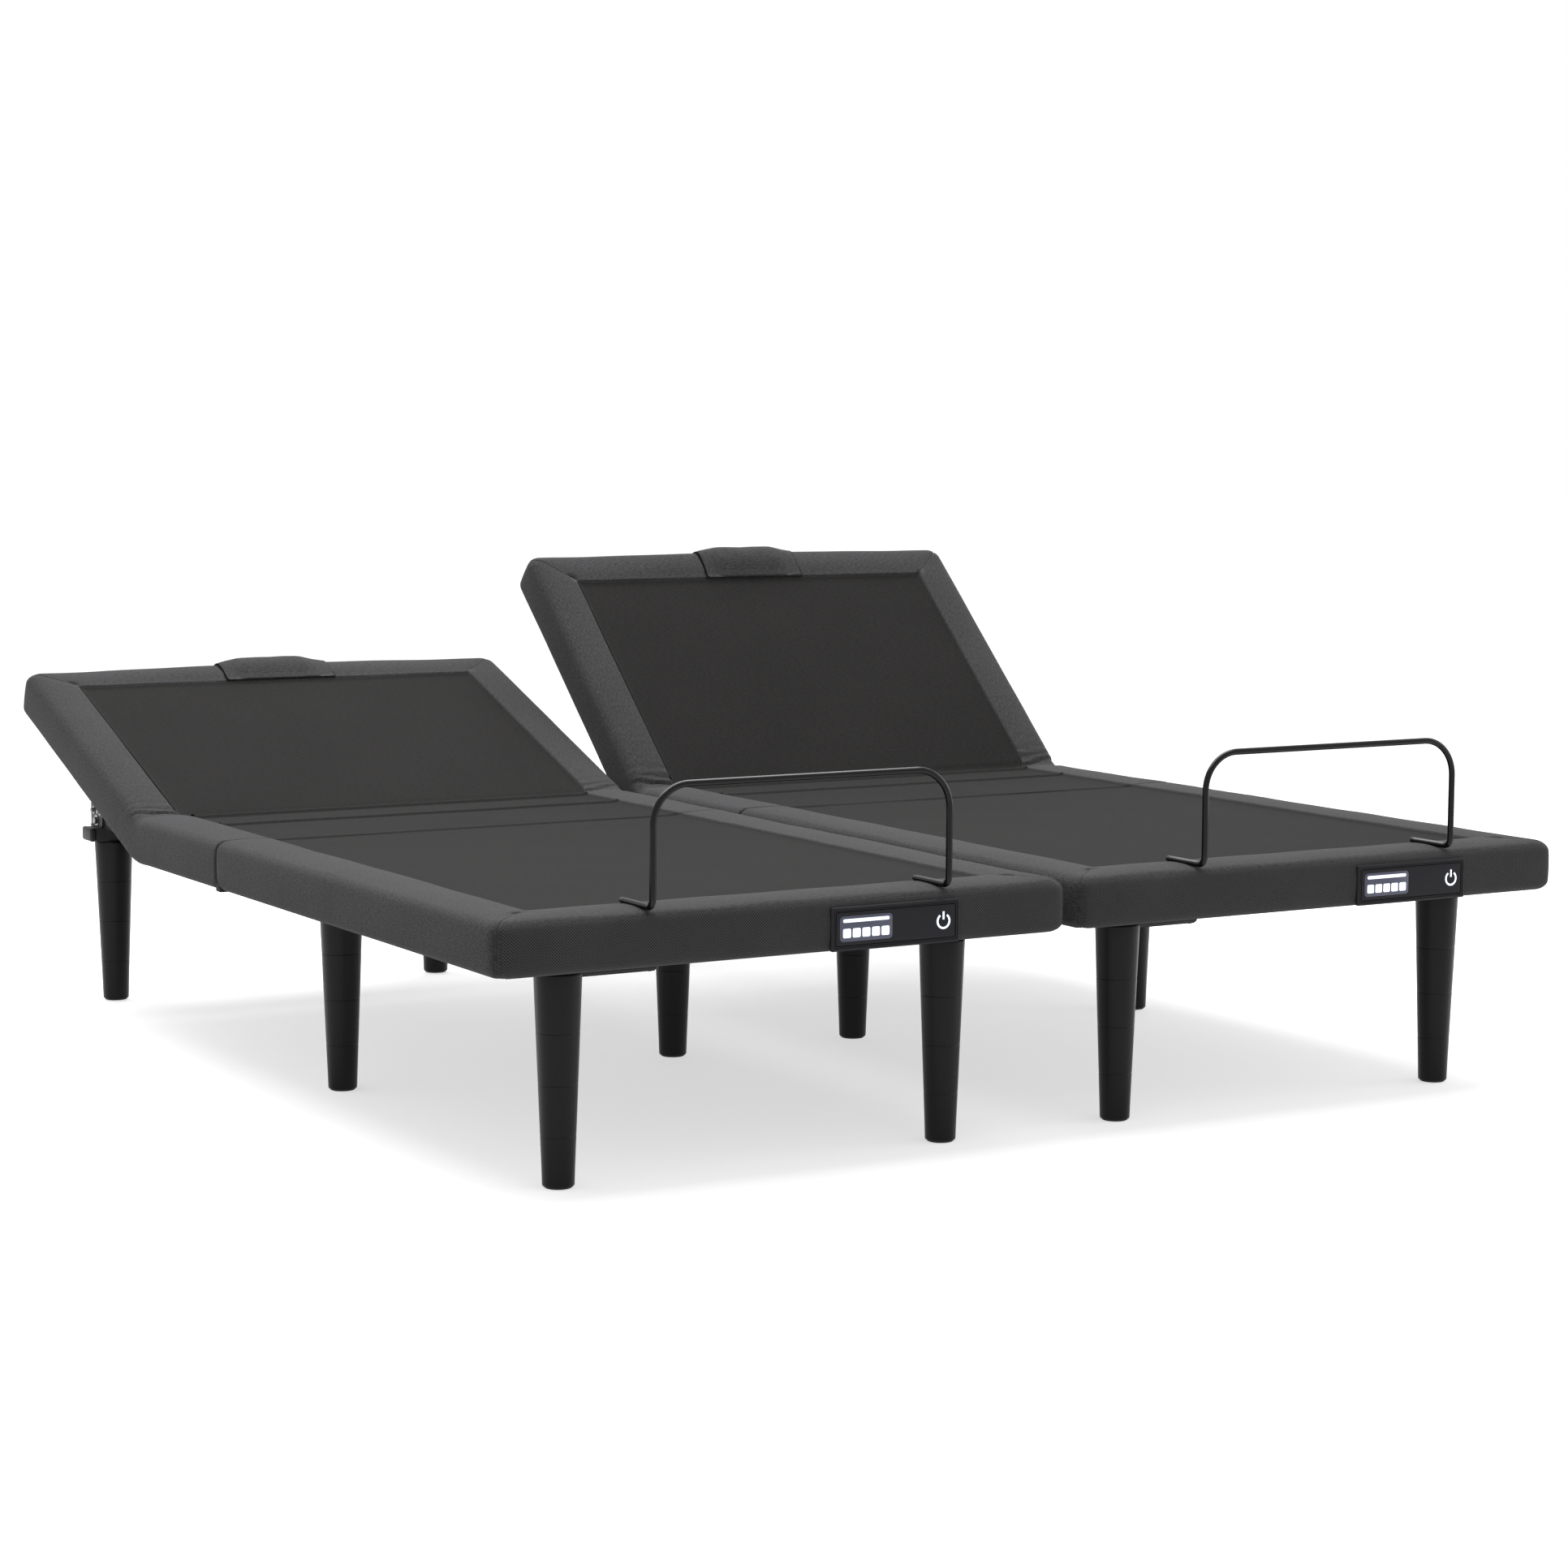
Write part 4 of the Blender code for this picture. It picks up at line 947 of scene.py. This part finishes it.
def rounded_rectangle(half_x, half_z, radius):
    points = []
    for quarter, (x, z) in enumerate(((1.0, 1.0), (-1.0, 1.0), (-1.0, -1.0), (1.0, -1.0))):
        centre = (x * (half_x - radius), z * (half_z - radius))
        points += arc_points(centre, radius, 90.0 * quarter, 90.0 * quarter + 90.0, 5)
    return points


def plate(name, centre, layers, material, radius):
    """A thin piece facing the foot end, lofted through rounded rectangles: half x, half z and y of each."""
    outlines = [rounded_rectangle(hx, hz, min(radius, hx * 0.98, hz * 0.98)) for hx, hz, _ in layers]
    rings = [[centre + Vector((x, y, z)) for x, z in line] for line, (_, _, y) in zip(outlines, layers)]
    us = [[x for x, _ in line] for line in outlines]
    vs = [[z for _, z in line + line[:1]] for line in outlines]
    caps = [(i, centre + Vector((0.0, layers[i][2], 0.0))) for i in (0, len(layers) - 1)]
    mesh = grid_mesh(name, rings, us, vs, caps=caps)
    made = new_object(name, mesh, [material])
    mesh.set_sharp_from_angle(angle=math.radians(34.0))
    return made


def flat_band(points, width):
    """A thin lit strip in the display's plane that follows points, with square ends."""
    verts, faces, last = [], [], len(points) - 1
    for k, p in enumerate(points):
        run = (points[min(k + 1, last)] - points[max(k - 1, 0)]).normalized()
        across = run.cross(AXIS["y"]).normalized() * (width / 2.0)
        for sign, y in ((1.0, MARK_BACK), (-1.0, MARK_BACK), (-1.0, MARK_FACE), (1.0, MARK_FACE)):
            verts.append(tuple(p + across * sign + Vector((0.0, y, 0.0))))
    for k in range(last):
        for j in range(4):
            n = (j + 1) % 4
            faces.append((4 * k + j, 4 * (k + 1) + j, 4 * (k + 1) + n, 4 * k + n))
    faces += [(0, 1, 2, 3), tuple(4 * last + j for j in (3, 2, 1, 0))]
    mesh = bpy.data.meshes.new("band")
    mesh.from_pydata(verts, [], faces)
    mesh.update()
    add_box_uv(mesh)
    tidy_normals(mesh)
    return new_object("band", mesh, [LIT_MARK], smooth=False)


def display(side):
    """Frame, glossy window and what is lit behind it: a bar, five squares and a ring with a stem."""
    centre, body = at(side, 0.17, -0.0003, 0.362), f"{side}_foot"

    def on_window(x, z, y=0.0):
        return centre + Vector((x, WINDOW_FACE + y, z))

    def mark(x, z, half_x, half_z, radius):
        layers = [(half_x, half_z, MARK_BACK), (half_x, half_z, MARK_FACE)]
        return plate("mark", on_window(x, z), layers, LIT_MARK, radius)

    bezel = plate(f"{side}_display_frame", centre, BEZEL_STEPS, BEZEL_PLASTIC, 0.003)
    fit(bezel, "bezel", body, f"{side}_display_bezel")
    window = plate(f"{side}_display_window", centre, WINDOW_STEPS, SCREEN_GLASS, 0.0016)
    fit(window, "screen", body, f"{side}_display_screen")
    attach(plate(f"{side}_display_halo", on_window(-0.052, 0.0), HALO_STEPS, HALO, 0.006), body)
    marks = [mark(-0.052, 0.012, 0.04, 0.0026, 0.0025)]
    marks += [mark(-0.0852 + 0.0166 * k, -0.0065, 0.0068, 0.0068, 0.0022) for k in range(5)]
    ring = [on_window(x, z, -0.0001) for x, z in arc_points((0.083, 0.0), 0.0105, 125.0, 415.0, 26)]
    stem = [on_window(0.083, z, -0.0001) for z in (0.0025, 0.0145)]
    marks += [flat_band(ring, 0.003), flat_band(stem, 0.003)]
    ride_joined(f"{side}_display_marks", marks, body)


# ---------------------------------------------------------------- CAD pieces that stay, with their materials
DRESS = (
    (FRAME_STEEL, ("base_frame", "head_lift_arm", "leg_lift_arm", "foot_link")),
    (MOULDED, ("head_actuator", "leg_actuator", "control_box")),
    (ROD_STEEL, ("head_actuator_rod", "leg_actuator_rod")),
    (BOARD_CLOTH, ("head_board", "seat_board", "thigh_board", "foot_board")),
)


def dress(node, material):
    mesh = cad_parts[node].data
    mesh.materials.clear()
    mesh.materials.append(material)


for side in HEAD_ANGLE:
    retainer(side)
for side in HEAD_ANGLE:
    display(side)
    for material, parts in DRESS:
        for part in parts:
            dress(f"{side}_{part}", material)
for place in ("middle", "head"):
    dress(f"joining_bar_{place}", FRAME_STEEL)


# ---------------------------------------------------------------- hardware on the steel frame
RAIL_X, RAIL_FACES = 0.345, (0.3325, 0.3575)
CROSSBAR_REACH = 0.375
PIN_REACH = 0.0135


def bolt(centre, axis, size=0.011):
    """A washer and a hexagon head standing on a face."""
    washer = [(0.001, 0.0), (size * 0.95, 0.0), (size * 0.95, 0.0012), (0.001, 0.0014)]
    head = [(0.001, 0.0012), (size * 0.56, 0.0012), (size * 0.58, 0.002), (size * 0.58, 0.0052),
            (size * 0.5, 0.0062), (0.001, 0.0062)]
    return [lathe("washer", washer, centre, axis, [ZINC], 18), lathe("head", head, centre, axis, [ZINC], 6)]


def pin(centre, reach=PIN_REACH, radius=0.005):
    """A clevis pin across a pair of ears, with a head at one end and a clip at the other."""
    profile = [
        (0.001, -reach - 0.0024), (radius * 1.6, -reach - 0.002), (radius * 1.6, -reach), (radius, -reach),
        (radius, reach + 0.0004), (radius * 1.5, reach + 0.0005), (radius * 1.5, reach + 0.0014),
        (radius, reach + 0.0015), (radius * 0.9, reach + 0.003), (0.001, reach + 0.0034),
    ]
    return lathe("pin", profile, centre, AXIS["x"], [ZINC], 18)


def screw(centre, axis, rim, shoulder, crown):
    """A screw's round head with a dimple."""
    profile = [(0.0005, 0.0), (rim, 0.0), shoulder, (0.0012, crown), (0.001, 0.0006), (0.0005, 0.0006)]
    return lathe("screw", profile, centre, axis, [ZINC], 12)


def bead(start, stop, radius=0.0021):
    """A rippled weld bead from one point to another."""
    long = (stop - start).length
    count = max(4, round(long / 0.0013))
    swells = [radius * (0.8 + 0.2 * (k % 2) + 0.05 * math.sin(k * 1.7)) for k in range(1, count)]
    profile = [(0.001, 0.0), *[(r, long * (k + 1) / count) for k, r in enumerate(swells)], (0.001, long)]
    return lathe("bead", profile, start, stop - start, [FRAME_STEEL], 8)


def eased(points, rounds=3):
    """The same path with its corners cut until it runs smoothly."""
    points = [Vector(p) for p in points]
    for _ in range(rounds):
        cut = [points[0]]
        for a, b in zip(points, points[1:]):
            cut += [a.lerp(b, 0.25), a.lerp(b, 0.75)]
        points = cut + [points[-1]]
    return points


def tube_plugs(side):
    made = []
    for sign in (-1.0, 1.0):
        for y, face in ((0.0725, 0.0755), (1.9995, 2.003)):
            low, high = (sign * RAIL_X - 0.0122, y, 0.3283), (sign * RAIL_X + 0.0122, face, 0.3647)
            made.append(boxed(side, low, high, MOULDED, 0.0012))
        for y, _, height in LEG_ROWS.values():
            low = (sign * (CROSSBAR_REACH - 0.0005), y - 0.0252, height + 0.0001)
            high = (sign * (CROSSBAR_REACH + 0.011), y + 0.0252, height + 0.0262)
            made.append(boxed(side, low, high, MOULDED, 0.005, 4))
        for y in (1.15, 1.33):
            low, high = (sign * 0.4195, y - 0.0147, 0.3634), (sign * 0.4225, y + 0.0147, 0.385)
            made.append(boxed(side, low, high, MOULDED, 0.0012))
    ride_joined(f"{side}_tube_plugs", made)


def frame_bolts(side):
    made = []
    inner = 1.0 if side == "left" else -1.0
    for sign in (-1.0, 1.0):
        for y, reach, height in LEG_ROWS.values():
            made += bolt(at(side, sign * min(reach, 0.3185), y, height + 0.025), AXIS["z"])
        for y, z, size in ((1.975, 0.3415, 0.012), (1.99, 0.36, 0.008), (1.957, 0.36, 0.008)):
            made += bolt(at(side, sign * 0.3615, y, z), AXIS["x"] * sign, size)
    for y, away in ((0.9668, 1.0), (1.9357, -1.0)):
        for x in (0.3035, 0.3585):
            made += bolt(at(side, inner * x, y, 0.316), AXIS["y"] * away, 0.009)
    for place in ((0.12, 0.9375, 0.274), (-0.12, 1.635, 0.274), (0.0, 0.6, 0.352)):
        made.append(pin(at(side, *place)))
    ride_joined(f"{side}_frame_bolts", made)


def weld_beads(side):
    made = []

    def along_y(x, start, stop, z):
        made.append(bead(at(side, x, start, z), at(side, x, stop, z)))

    def upright(x, y, low, high):
        made.append(bead(at(side, x, y, low), at(side, x, y, high)))

    for sign in (-1.0, 1.0):
        for y, _, height in LEG_ROWS.values():
            for face in RAIL_FACES:
                along_y(sign * face, y - 0.024, y + 0.024, height + 0.0252)
        along_y(sign * RAIL_FACES[0], 0.586, 0.614, 0.3285)
        for y in (1.135, 1.165, 1.315, 1.345):
            made.append(bead(*[at(side, sign * face, y, 0.3655) for face in RAIL_FACES]))
        for y in (0.9627, 1.9398):
            upright(sign * 0.0152, y, 0.307, 0.328)
        along_y(sign * 0.3617, 1.945, 2.005, 0.331)
    for x in (0.106, 0.134):
        along_y(x, 0.92, 0.955, 0.3045)
        along_y(-x, 1.623, 1.647, 0.3065)
    for y in (1.6198, 1.6502):
        upright(-0.0152, y, 0.308, 0.3275)
    ride_joined(f"{side}_weld_beads", made)


MOTOR_HEIGHT = 0.274
SWING_RATIO = 0.804                 # how far the head lift's arms turn for each degree of the head section
LEVER = 0.08
ACTUATORS = {
    "head": {"place": (0.12, 0.9375), "facing": 1.0, "guide_end": 0.3523, "pivot": (1.39, 0.35),
             "arm": 0.34, "flat": 2.5, "hang": 28.63},
    "leg": {"place": (-0.12, 1.635), "facing": -1.0, "guide_end": 0.4556, "pivot": (1.095, 0.35),
            "arm": 0.3, "flat": 2.75, "hang": 16.82},
}
SHELL = [(0.001, 0.0), (0.0252, 0.0), (0.0258, 0.0008), (0.0258, 0.006), (0.0252, 0.0068), (0.001, 0.0068)]
CAP = [(0.001, 0.0), (0.0248, 0.0), (0.024, 0.0026), (0.018, 0.004), (0.009, 0.0042), (0.0084, 0.0056),
       (0.001, 0.006)]
NOSE = [(0.001, 0.0), (0.0182, 0.0), (0.0196, 0.0012), (0.0196, 0.0125), (0.0186, 0.014), (0.001, 0.0142)]
WIPER = [(0.001, 0.0), (0.0125, 0.0), (0.0112, 0.0016), (0.009, 0.0022), (0.001, 0.0022)]
RIB = [(0.001, 0.0), (0.0183, 0.0), (0.0187, 0.0004), (0.0187, 0.003), (0.0183, 0.0034), (0.001, 0.0034)]
LAMP = [(0.001, 0.0), (0.003, 0.0), (0.0024, 0.0014), (0.001, 0.0018)]


def mirrored(*half):
    """A turned profile that is the same on both sides of its middle."""
    return [(r, -y) for r, y in half] + [(r, y) for r, y in reversed(half)]


ROLLER = mirrored((0.001, 0.0154), (0.016, 0.0154), (0.0181, 0.0138))
HUB = mirrored((0.001, 0.018), (0.0052, 0.0178), (0.006, 0.0168))
COLLAR = mirrored((0.001, 0.0045), (0.0172, 0.0045), (0.0178, 0.0036))


def actuator_trim(side, which):
    """Lids, screws, motor cap and bands, guide nose and wiper of one actuator."""
    about = ACTUATORS[which]
    facing, (ax, ay), end = about["facing"], about["place"], about["guide_end"]
    forward = AXIS["y"] * facing

    def spot(x, y, z):
        return (ax + facing * x, ay + facing * y, MOTOR_HEIGHT + z)

    made = []
    for low, high, face, up in ((0.0255, 0.028, 0.028, 1.0), (-0.036, -0.0335, -0.036, -1.0)):
        made.append(boxed(side, spot(-0.026, 0.03, low), spot(0.074, 0.081, high), MOULDED, 0.001))
        for x in (-0.021, 0.069):
            for y in (0.035, 0.076):
                centre = at(side, *spot(x, y, face))
                made.append(screw(centre, AXIS["z"] * up, 0.0032, (0.003, 0.001), 0.0014))
    turned = [(SHELL, (0.05, 0.088, -0.004), MOULDED, 32), (SHELL, (0.05, 0.186, -0.004), MOULDED, 32)]
    turned += [(CAP, (0.05, 0.1995, -0.004), MOULDED, 32), (NOSE, (0.0, end - 0.0136, 0.0), MOULDED, 32)]
    turned.append((WIPER, (0.0, end + 0.0004, 0.0), RUBBER, 28))
    turned += [(RIB, (0.0, 0.1215 + 0.006 * k, 0.0), MOULDED, 28) for k in range(4)]
    for profile, place, material, steps in turned:
        made.append(lathe("turned", profile, at(side, *spot(*place)), forward, [material], steps))
    ride_joined(f"{side}_{which}_actuator_trim", made)


def arm_trim(side, which):
    """Nylon rollers at the ends of the two arms, the lever's pin and the torque tube's end collars."""
    about = ACTUATORS[which]
    angle = about["flat"] + (SWING_RATIO * HEAD_ANGLE[side] if which == "head" else 0.0)
    facing, (py, pz), arm = about["facing"], about["pivot"], about["arm"]
    a = math.radians(angle)
    made = []
    for sign in (-1.0, 1.0):
        end = at(side, sign * 0.2, py + facing * arm * math.cos(a), pz + arm * math.sin(a))
        made.append(lathe("roller", ROLLER, end, AXIS["x"], [NYLON], 36))
        made.append(lathe("hub", HUB, end, AXIS["x"], [ZINC], 16))
        made.append(lathe("collar", COLLAR, at(side, sign * 0.3235, py, pz), AXIS["x"], [MOULDED], 28))
    swing = math.radians(angle - about["hang"])
    y, z = py + facing * LEVER * math.sin(swing), pz - LEVER * math.cos(swing)
    made.append(pin(at(side, about["place"][0], y, z)))
    ride_joined(f"{side}_{which}_arm_trim", made, f"{side}_{which}_arm")


BOX_FACE = 0.2982                   # the control box's lower face
LEADS = (
    [(-0.277, 0.302, 0.3205), (-0.277, 0.35, 0.3205), (-0.322, 0.42, 0.3345), (-0.322, 0.6, 0.3345),
     (-0.322, 0.9375, 0.335), (-0.322, 1.0, 0.322), (-0.322, 1.095, 0.319), (-0.322, 1.39, 0.319),
     (-0.3, 1.45, 0.305), (-0.22, 1.47, 0.285), (-0.192, 1.47, 0.274)],
    [(-0.243, 0.302, 0.3205), (-0.243, 0.45, 0.319), (-0.236, 0.578, 0.318), (-0.1, 0.579, 0.318),
     (0.1, 0.579, 0.318), (0.285, 0.578, 0.318), (0.318, 0.575, 0.334), (0.322, 0.64, 0.335),
     (0.322, 0.8, 0.3345), (0.322, 0.9375, 0.335), (0.318, 1.0, 0.32), (0.24, 1.05, 0.285),
     (0.192, 1.06, 0.274)],
)


def control_trim(side):
    """Lid, screws, vents, lamp and sockets of the control box, and the leads to the two motors."""
    down = -AXIS["z"]
    made = [boxed(side, (-0.296, 0.143, BOX_FACE), (-0.154, 0.296, 0.3004), MOULDED, 0.001)]
    for x in (-0.29, -0.16):
        for y in (0.149, 0.29):
            made.append(screw(at(side, x, y, BOX_FACE), down, 0.0036, (0.0033, 0.0011), 0.0015))
    for y in [0.18 + 0.011 * k for k in range(7)]:
        made.append(boxed(side, (-0.265, y, 0.2976), (-0.205, y + 0.004, 0.2986), RUBBER, 0.0004, 2))
    made.append(lathe("lamp", LAMP, at(side, -0.175, 0.165, BOX_FACE), down, [STATUS_GREEN], 16))
    for x in [-0.289 + 0.034 * k for k in range(4)]:
        made.append(boxed(side, (x, 0.2995, 0.311), (x + 0.024, 0.304, 0.33), MOULDED, 0.0012))
        made.append(boxed(side, (x + 0.003, 0.3036, 0.314), (x + 0.021, 0.3042, 0.327), RUBBER, 0.0002, 1))
    for path in LEADS:
        made.append(swept("lead", [at(side, *p) for p in eased(path)], 0.0028, RUBBER, 10))
        x, y, z = path[0]
        made.append(swept("relief", [at(side, x, y, z), at(side, x, y + 0.018, z)], 0.0046, RUBBER, 12))
    for x, y in ((-0.322, 0.5), (-0.322, 0.72), (0.322, 0.72), (0.322, 0.86)):
        sign = math.copysign(1.0, x)
        low, high = (x - sign * 0.0045, y - 0.005, 0.33), (sign * 0.333, y + 0.005, 0.339)
        made.append(boxed(side, low, high, MOULDED, 0.0015))
    ride_joined(f"{side}_control_trim", made)


def seam_tabs(side):
    """Small black gussets in the notches under the side walls where the thigh section begins."""
    made = []
    for sign in (-1.0, 1.0):
        low = (sign * (HALF - 0.0215), SEAT_START - 0.01, 0.3258)
        high = (sign * (HALF - 0.0022), SEAT_START + 0.01, 0.342)
        made.append(boxed(side, low, high, UNDER_CLOTH, 0.003))
    ride_joined(f"{side}_seam_tabs", made)


TAPE_REACH = 0.0072


def hinge_tape(name, side, place):
    """A folded strip of cloth that closes the slit between two boards."""
    across = [TAPE_REACH * k / 4.0 for k in range(-4, 5)]
    upper = [(y, -0.0068 - 0.0055 * (1.0 - (y / TAPE_REACH) ** 2)) for y in across]
    profile = upper + [(y, z - 0.001) for y, z in reversed(upper)]
    xs = spaced(-0.4515, 0.4515, 0.05)
    rings = [[(x, place + y, DECK_Z + z) for y, z in profile] for x in xs]
    vs = [[0.001 * k for k in range(len(profile) + 1)]] * len(xs)
    caps = [(i, (xs[i], place, DECK_Z - 0.0128)) for i in (0, len(xs) - 1)]
    mesh = grid_mesh(name, rings, xs, vs, caps=caps)
    return place_at(new_object(name, mesh, [UNDER_CLOTH]), side)


BOARDS = {"seat": (1.058, 1.427, "root"), "thigh": (0.628, 1.042, "thigh"),
          "foot": (0.029, 0.612, "foot"), "head": (1.443, 2.028, "head")}
BOARD_BOTTOM, BOARD_HALF, HEM = 0.3857, 0.453, 0.02


def board_underside(side, name):
    """Folded hems of the dust cloth under one board, and the staples that hold them."""
    y_from, y_to, body = BOARDS[name]
    turn = None
    if name == "head":
        pivot = Matrix.Translation(at(side, 0.0, HEAD_HINGE, DECK_Z))
        turn = pivot @ Matrix.Rotation(math.radians(HEAD_ANGLE[side]), 4, "X") @ pivot.inverted()
    made = []

    def hem(x_low, x_high, y_low, y_high):
        low, high = (x_low, y_low, BOARD_BOTTOM - 0.001), (x_high, y_high, BOARD_BOTTOM - 0.0001)
        made.append(boxed(side, low, high, UNDER_CLOTH, 0.0004, 2, turn))

    def staple(x, y, half_x, half_y):
        low = (x - half_x, y - half_y, BOARD_BOTTOM - 0.0016)
        high = (x + half_x, y + half_y, BOARD_BOTTOM - 0.0009)
        made.append(boxed(side, low, high, ZINC, 0.0003, 1, turn))

    for sign in (-1.0, 1.0):
        hem(sign * (BOARD_HALF - HEM), sign * BOARD_HALF, y_from + 0.001, y_to - 0.001)
    for y in (y_from + 0.001, y_to - 0.001 - HEM):
        hem(-BOARD_HALF + HEM, BOARD_HALF - HEM, y, y + HEM)
    for y in spaced(y_from + 0.03, y_to - 0.03, 0.055):
        for sign in (-1.0, 1.0):
            staple(sign * (BOARD_HALF - HEM * 0.55), y, 0.0006, 0.006)
    for x in spaced(-BOARD_HALF + 0.05, BOARD_HALF - 0.05, 0.055):
        for y in (y_from + 0.001 + HEM * 0.55, y_to - 0.001 - HEM * 0.55):
            staple(x, y, 0.006, 0.0006)
    ride_joined(f"{side}_{name}_hem", made, body if body == "root" else f"{side}_{body}")


for side in HEAD_ANGLE:
    tube_plugs(side)
    frame_bolts(side)
    weld_beads(side)
    control_trim(side)
    seam_tabs(side)
    tape = hinge_tape(f"{side}_seat_hinge_tape", side, SEAT_START)
    start, end = [at(side, 0.0, SEAT_START + reach, DECK_Z) for reach in (TAPE_REACH, -TAPE_REACH)]
    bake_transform(tape)
    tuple(start)
    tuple(end)
    blend_at_knee(hinge_tape(f"{side}_knee_hinge_tape", side, KNEE), side)
    for which in ACTUATORS:
        actuator_trim(side, which)
        arm_trim(side, which)
    for name in BOARDS:
        board_underside(side, name)


# ---------------------------------------------------------------- floor, light and camera
def stage():
    """A pale floor that lights itself a little, under a white sky."""
    mesh = bpy.data.meshes.new("floor")
    corners = [(-30, -30, -0.001), (30, -30, -0.001), (30, 30, -0.001), (-30, 30, -0.001)]
    mesh.from_pydata(corners, [], [(0, 1, 2, 3)])
    t = Tree("pale_floor")
    tone = t.ramp(t.grain(t.place(), 0.8, 3.0), 0.3, 0.7, 0.44, 0.48)
    white = (1.0, 1.0, 1.0, 1.0)
    t.set(Base_Color=tone, Roughness=0.9, Specular_IOR_Level=0.1)
    t.set(Emission_Color=white, Emission_Strength=0.6)
    new_object("floor", mesh, [t.material])
    world = bpy.data.worlds.new("studio")
    bpy.context.scene.world = world
    world.use_nodes = True
    sky = world.node_tree.nodes["Background"].inputs
    sky["Color"].default_value = white
    sky["Strength"].default_value = 1.0


def area_light(name, place, target, size, power):
    light = bpy.data.lights.new(name, "AREA")
    light.shape = "RECTANGLE"
    light.size, light.size_y = size
    light.energy = power
    made = bpy.data.objects.new(name, light)
    bpy.context.scene.collection.objects.link(made)
    made.location = place
    made.rotation_euler = (Vector(target) - Vector(place)).to_track_quat("-Z", "Y").to_euler()


def camera():
    yaw, pitch, roll = 0.5327, -0.107, 0.0043
    ahead = Vector((math.sin(yaw) * math.cos(pitch), math.cos(yaw) * math.cos(pitch), math.sin(pitch)))
    level = ahead.cross(AXIS["z"]).normalized()
    upright = level.cross(ahead)
    right = level * math.cos(roll) + upright * math.sin(roll)
    up = upright * math.cos(roll) - level * math.sin(roll)
    data = bpy.data.cameras.new("camera")
    data.lens = 79.715
    data.sensor_width = 36.0
    data.clip_end = 200.0
    made = bpy.data.objects.new("camera", data)
    bpy.context.scene.collection.objects.link(made)
    turn = Matrix((right, up, -ahead)).transposed()
    made.matrix_world = Matrix.Translation((-3.0431, -5.3101, 1.1153)) @ turn.to_4x4()
    bpy.context.scene.camera = made
    bpy.context.scene.view_settings.view_transform = "Standard"


stage()
area_light("overhead", (0.0, 0.8, 4.0), (0.0, 0.0, 0.4), (5.0, 5.0), 460.0)
area_light("right_fill", (5.0, -2.5, 1.6), (0.0, 0.0, 0.3), (2.0, 2.5), 40.0)
camera()
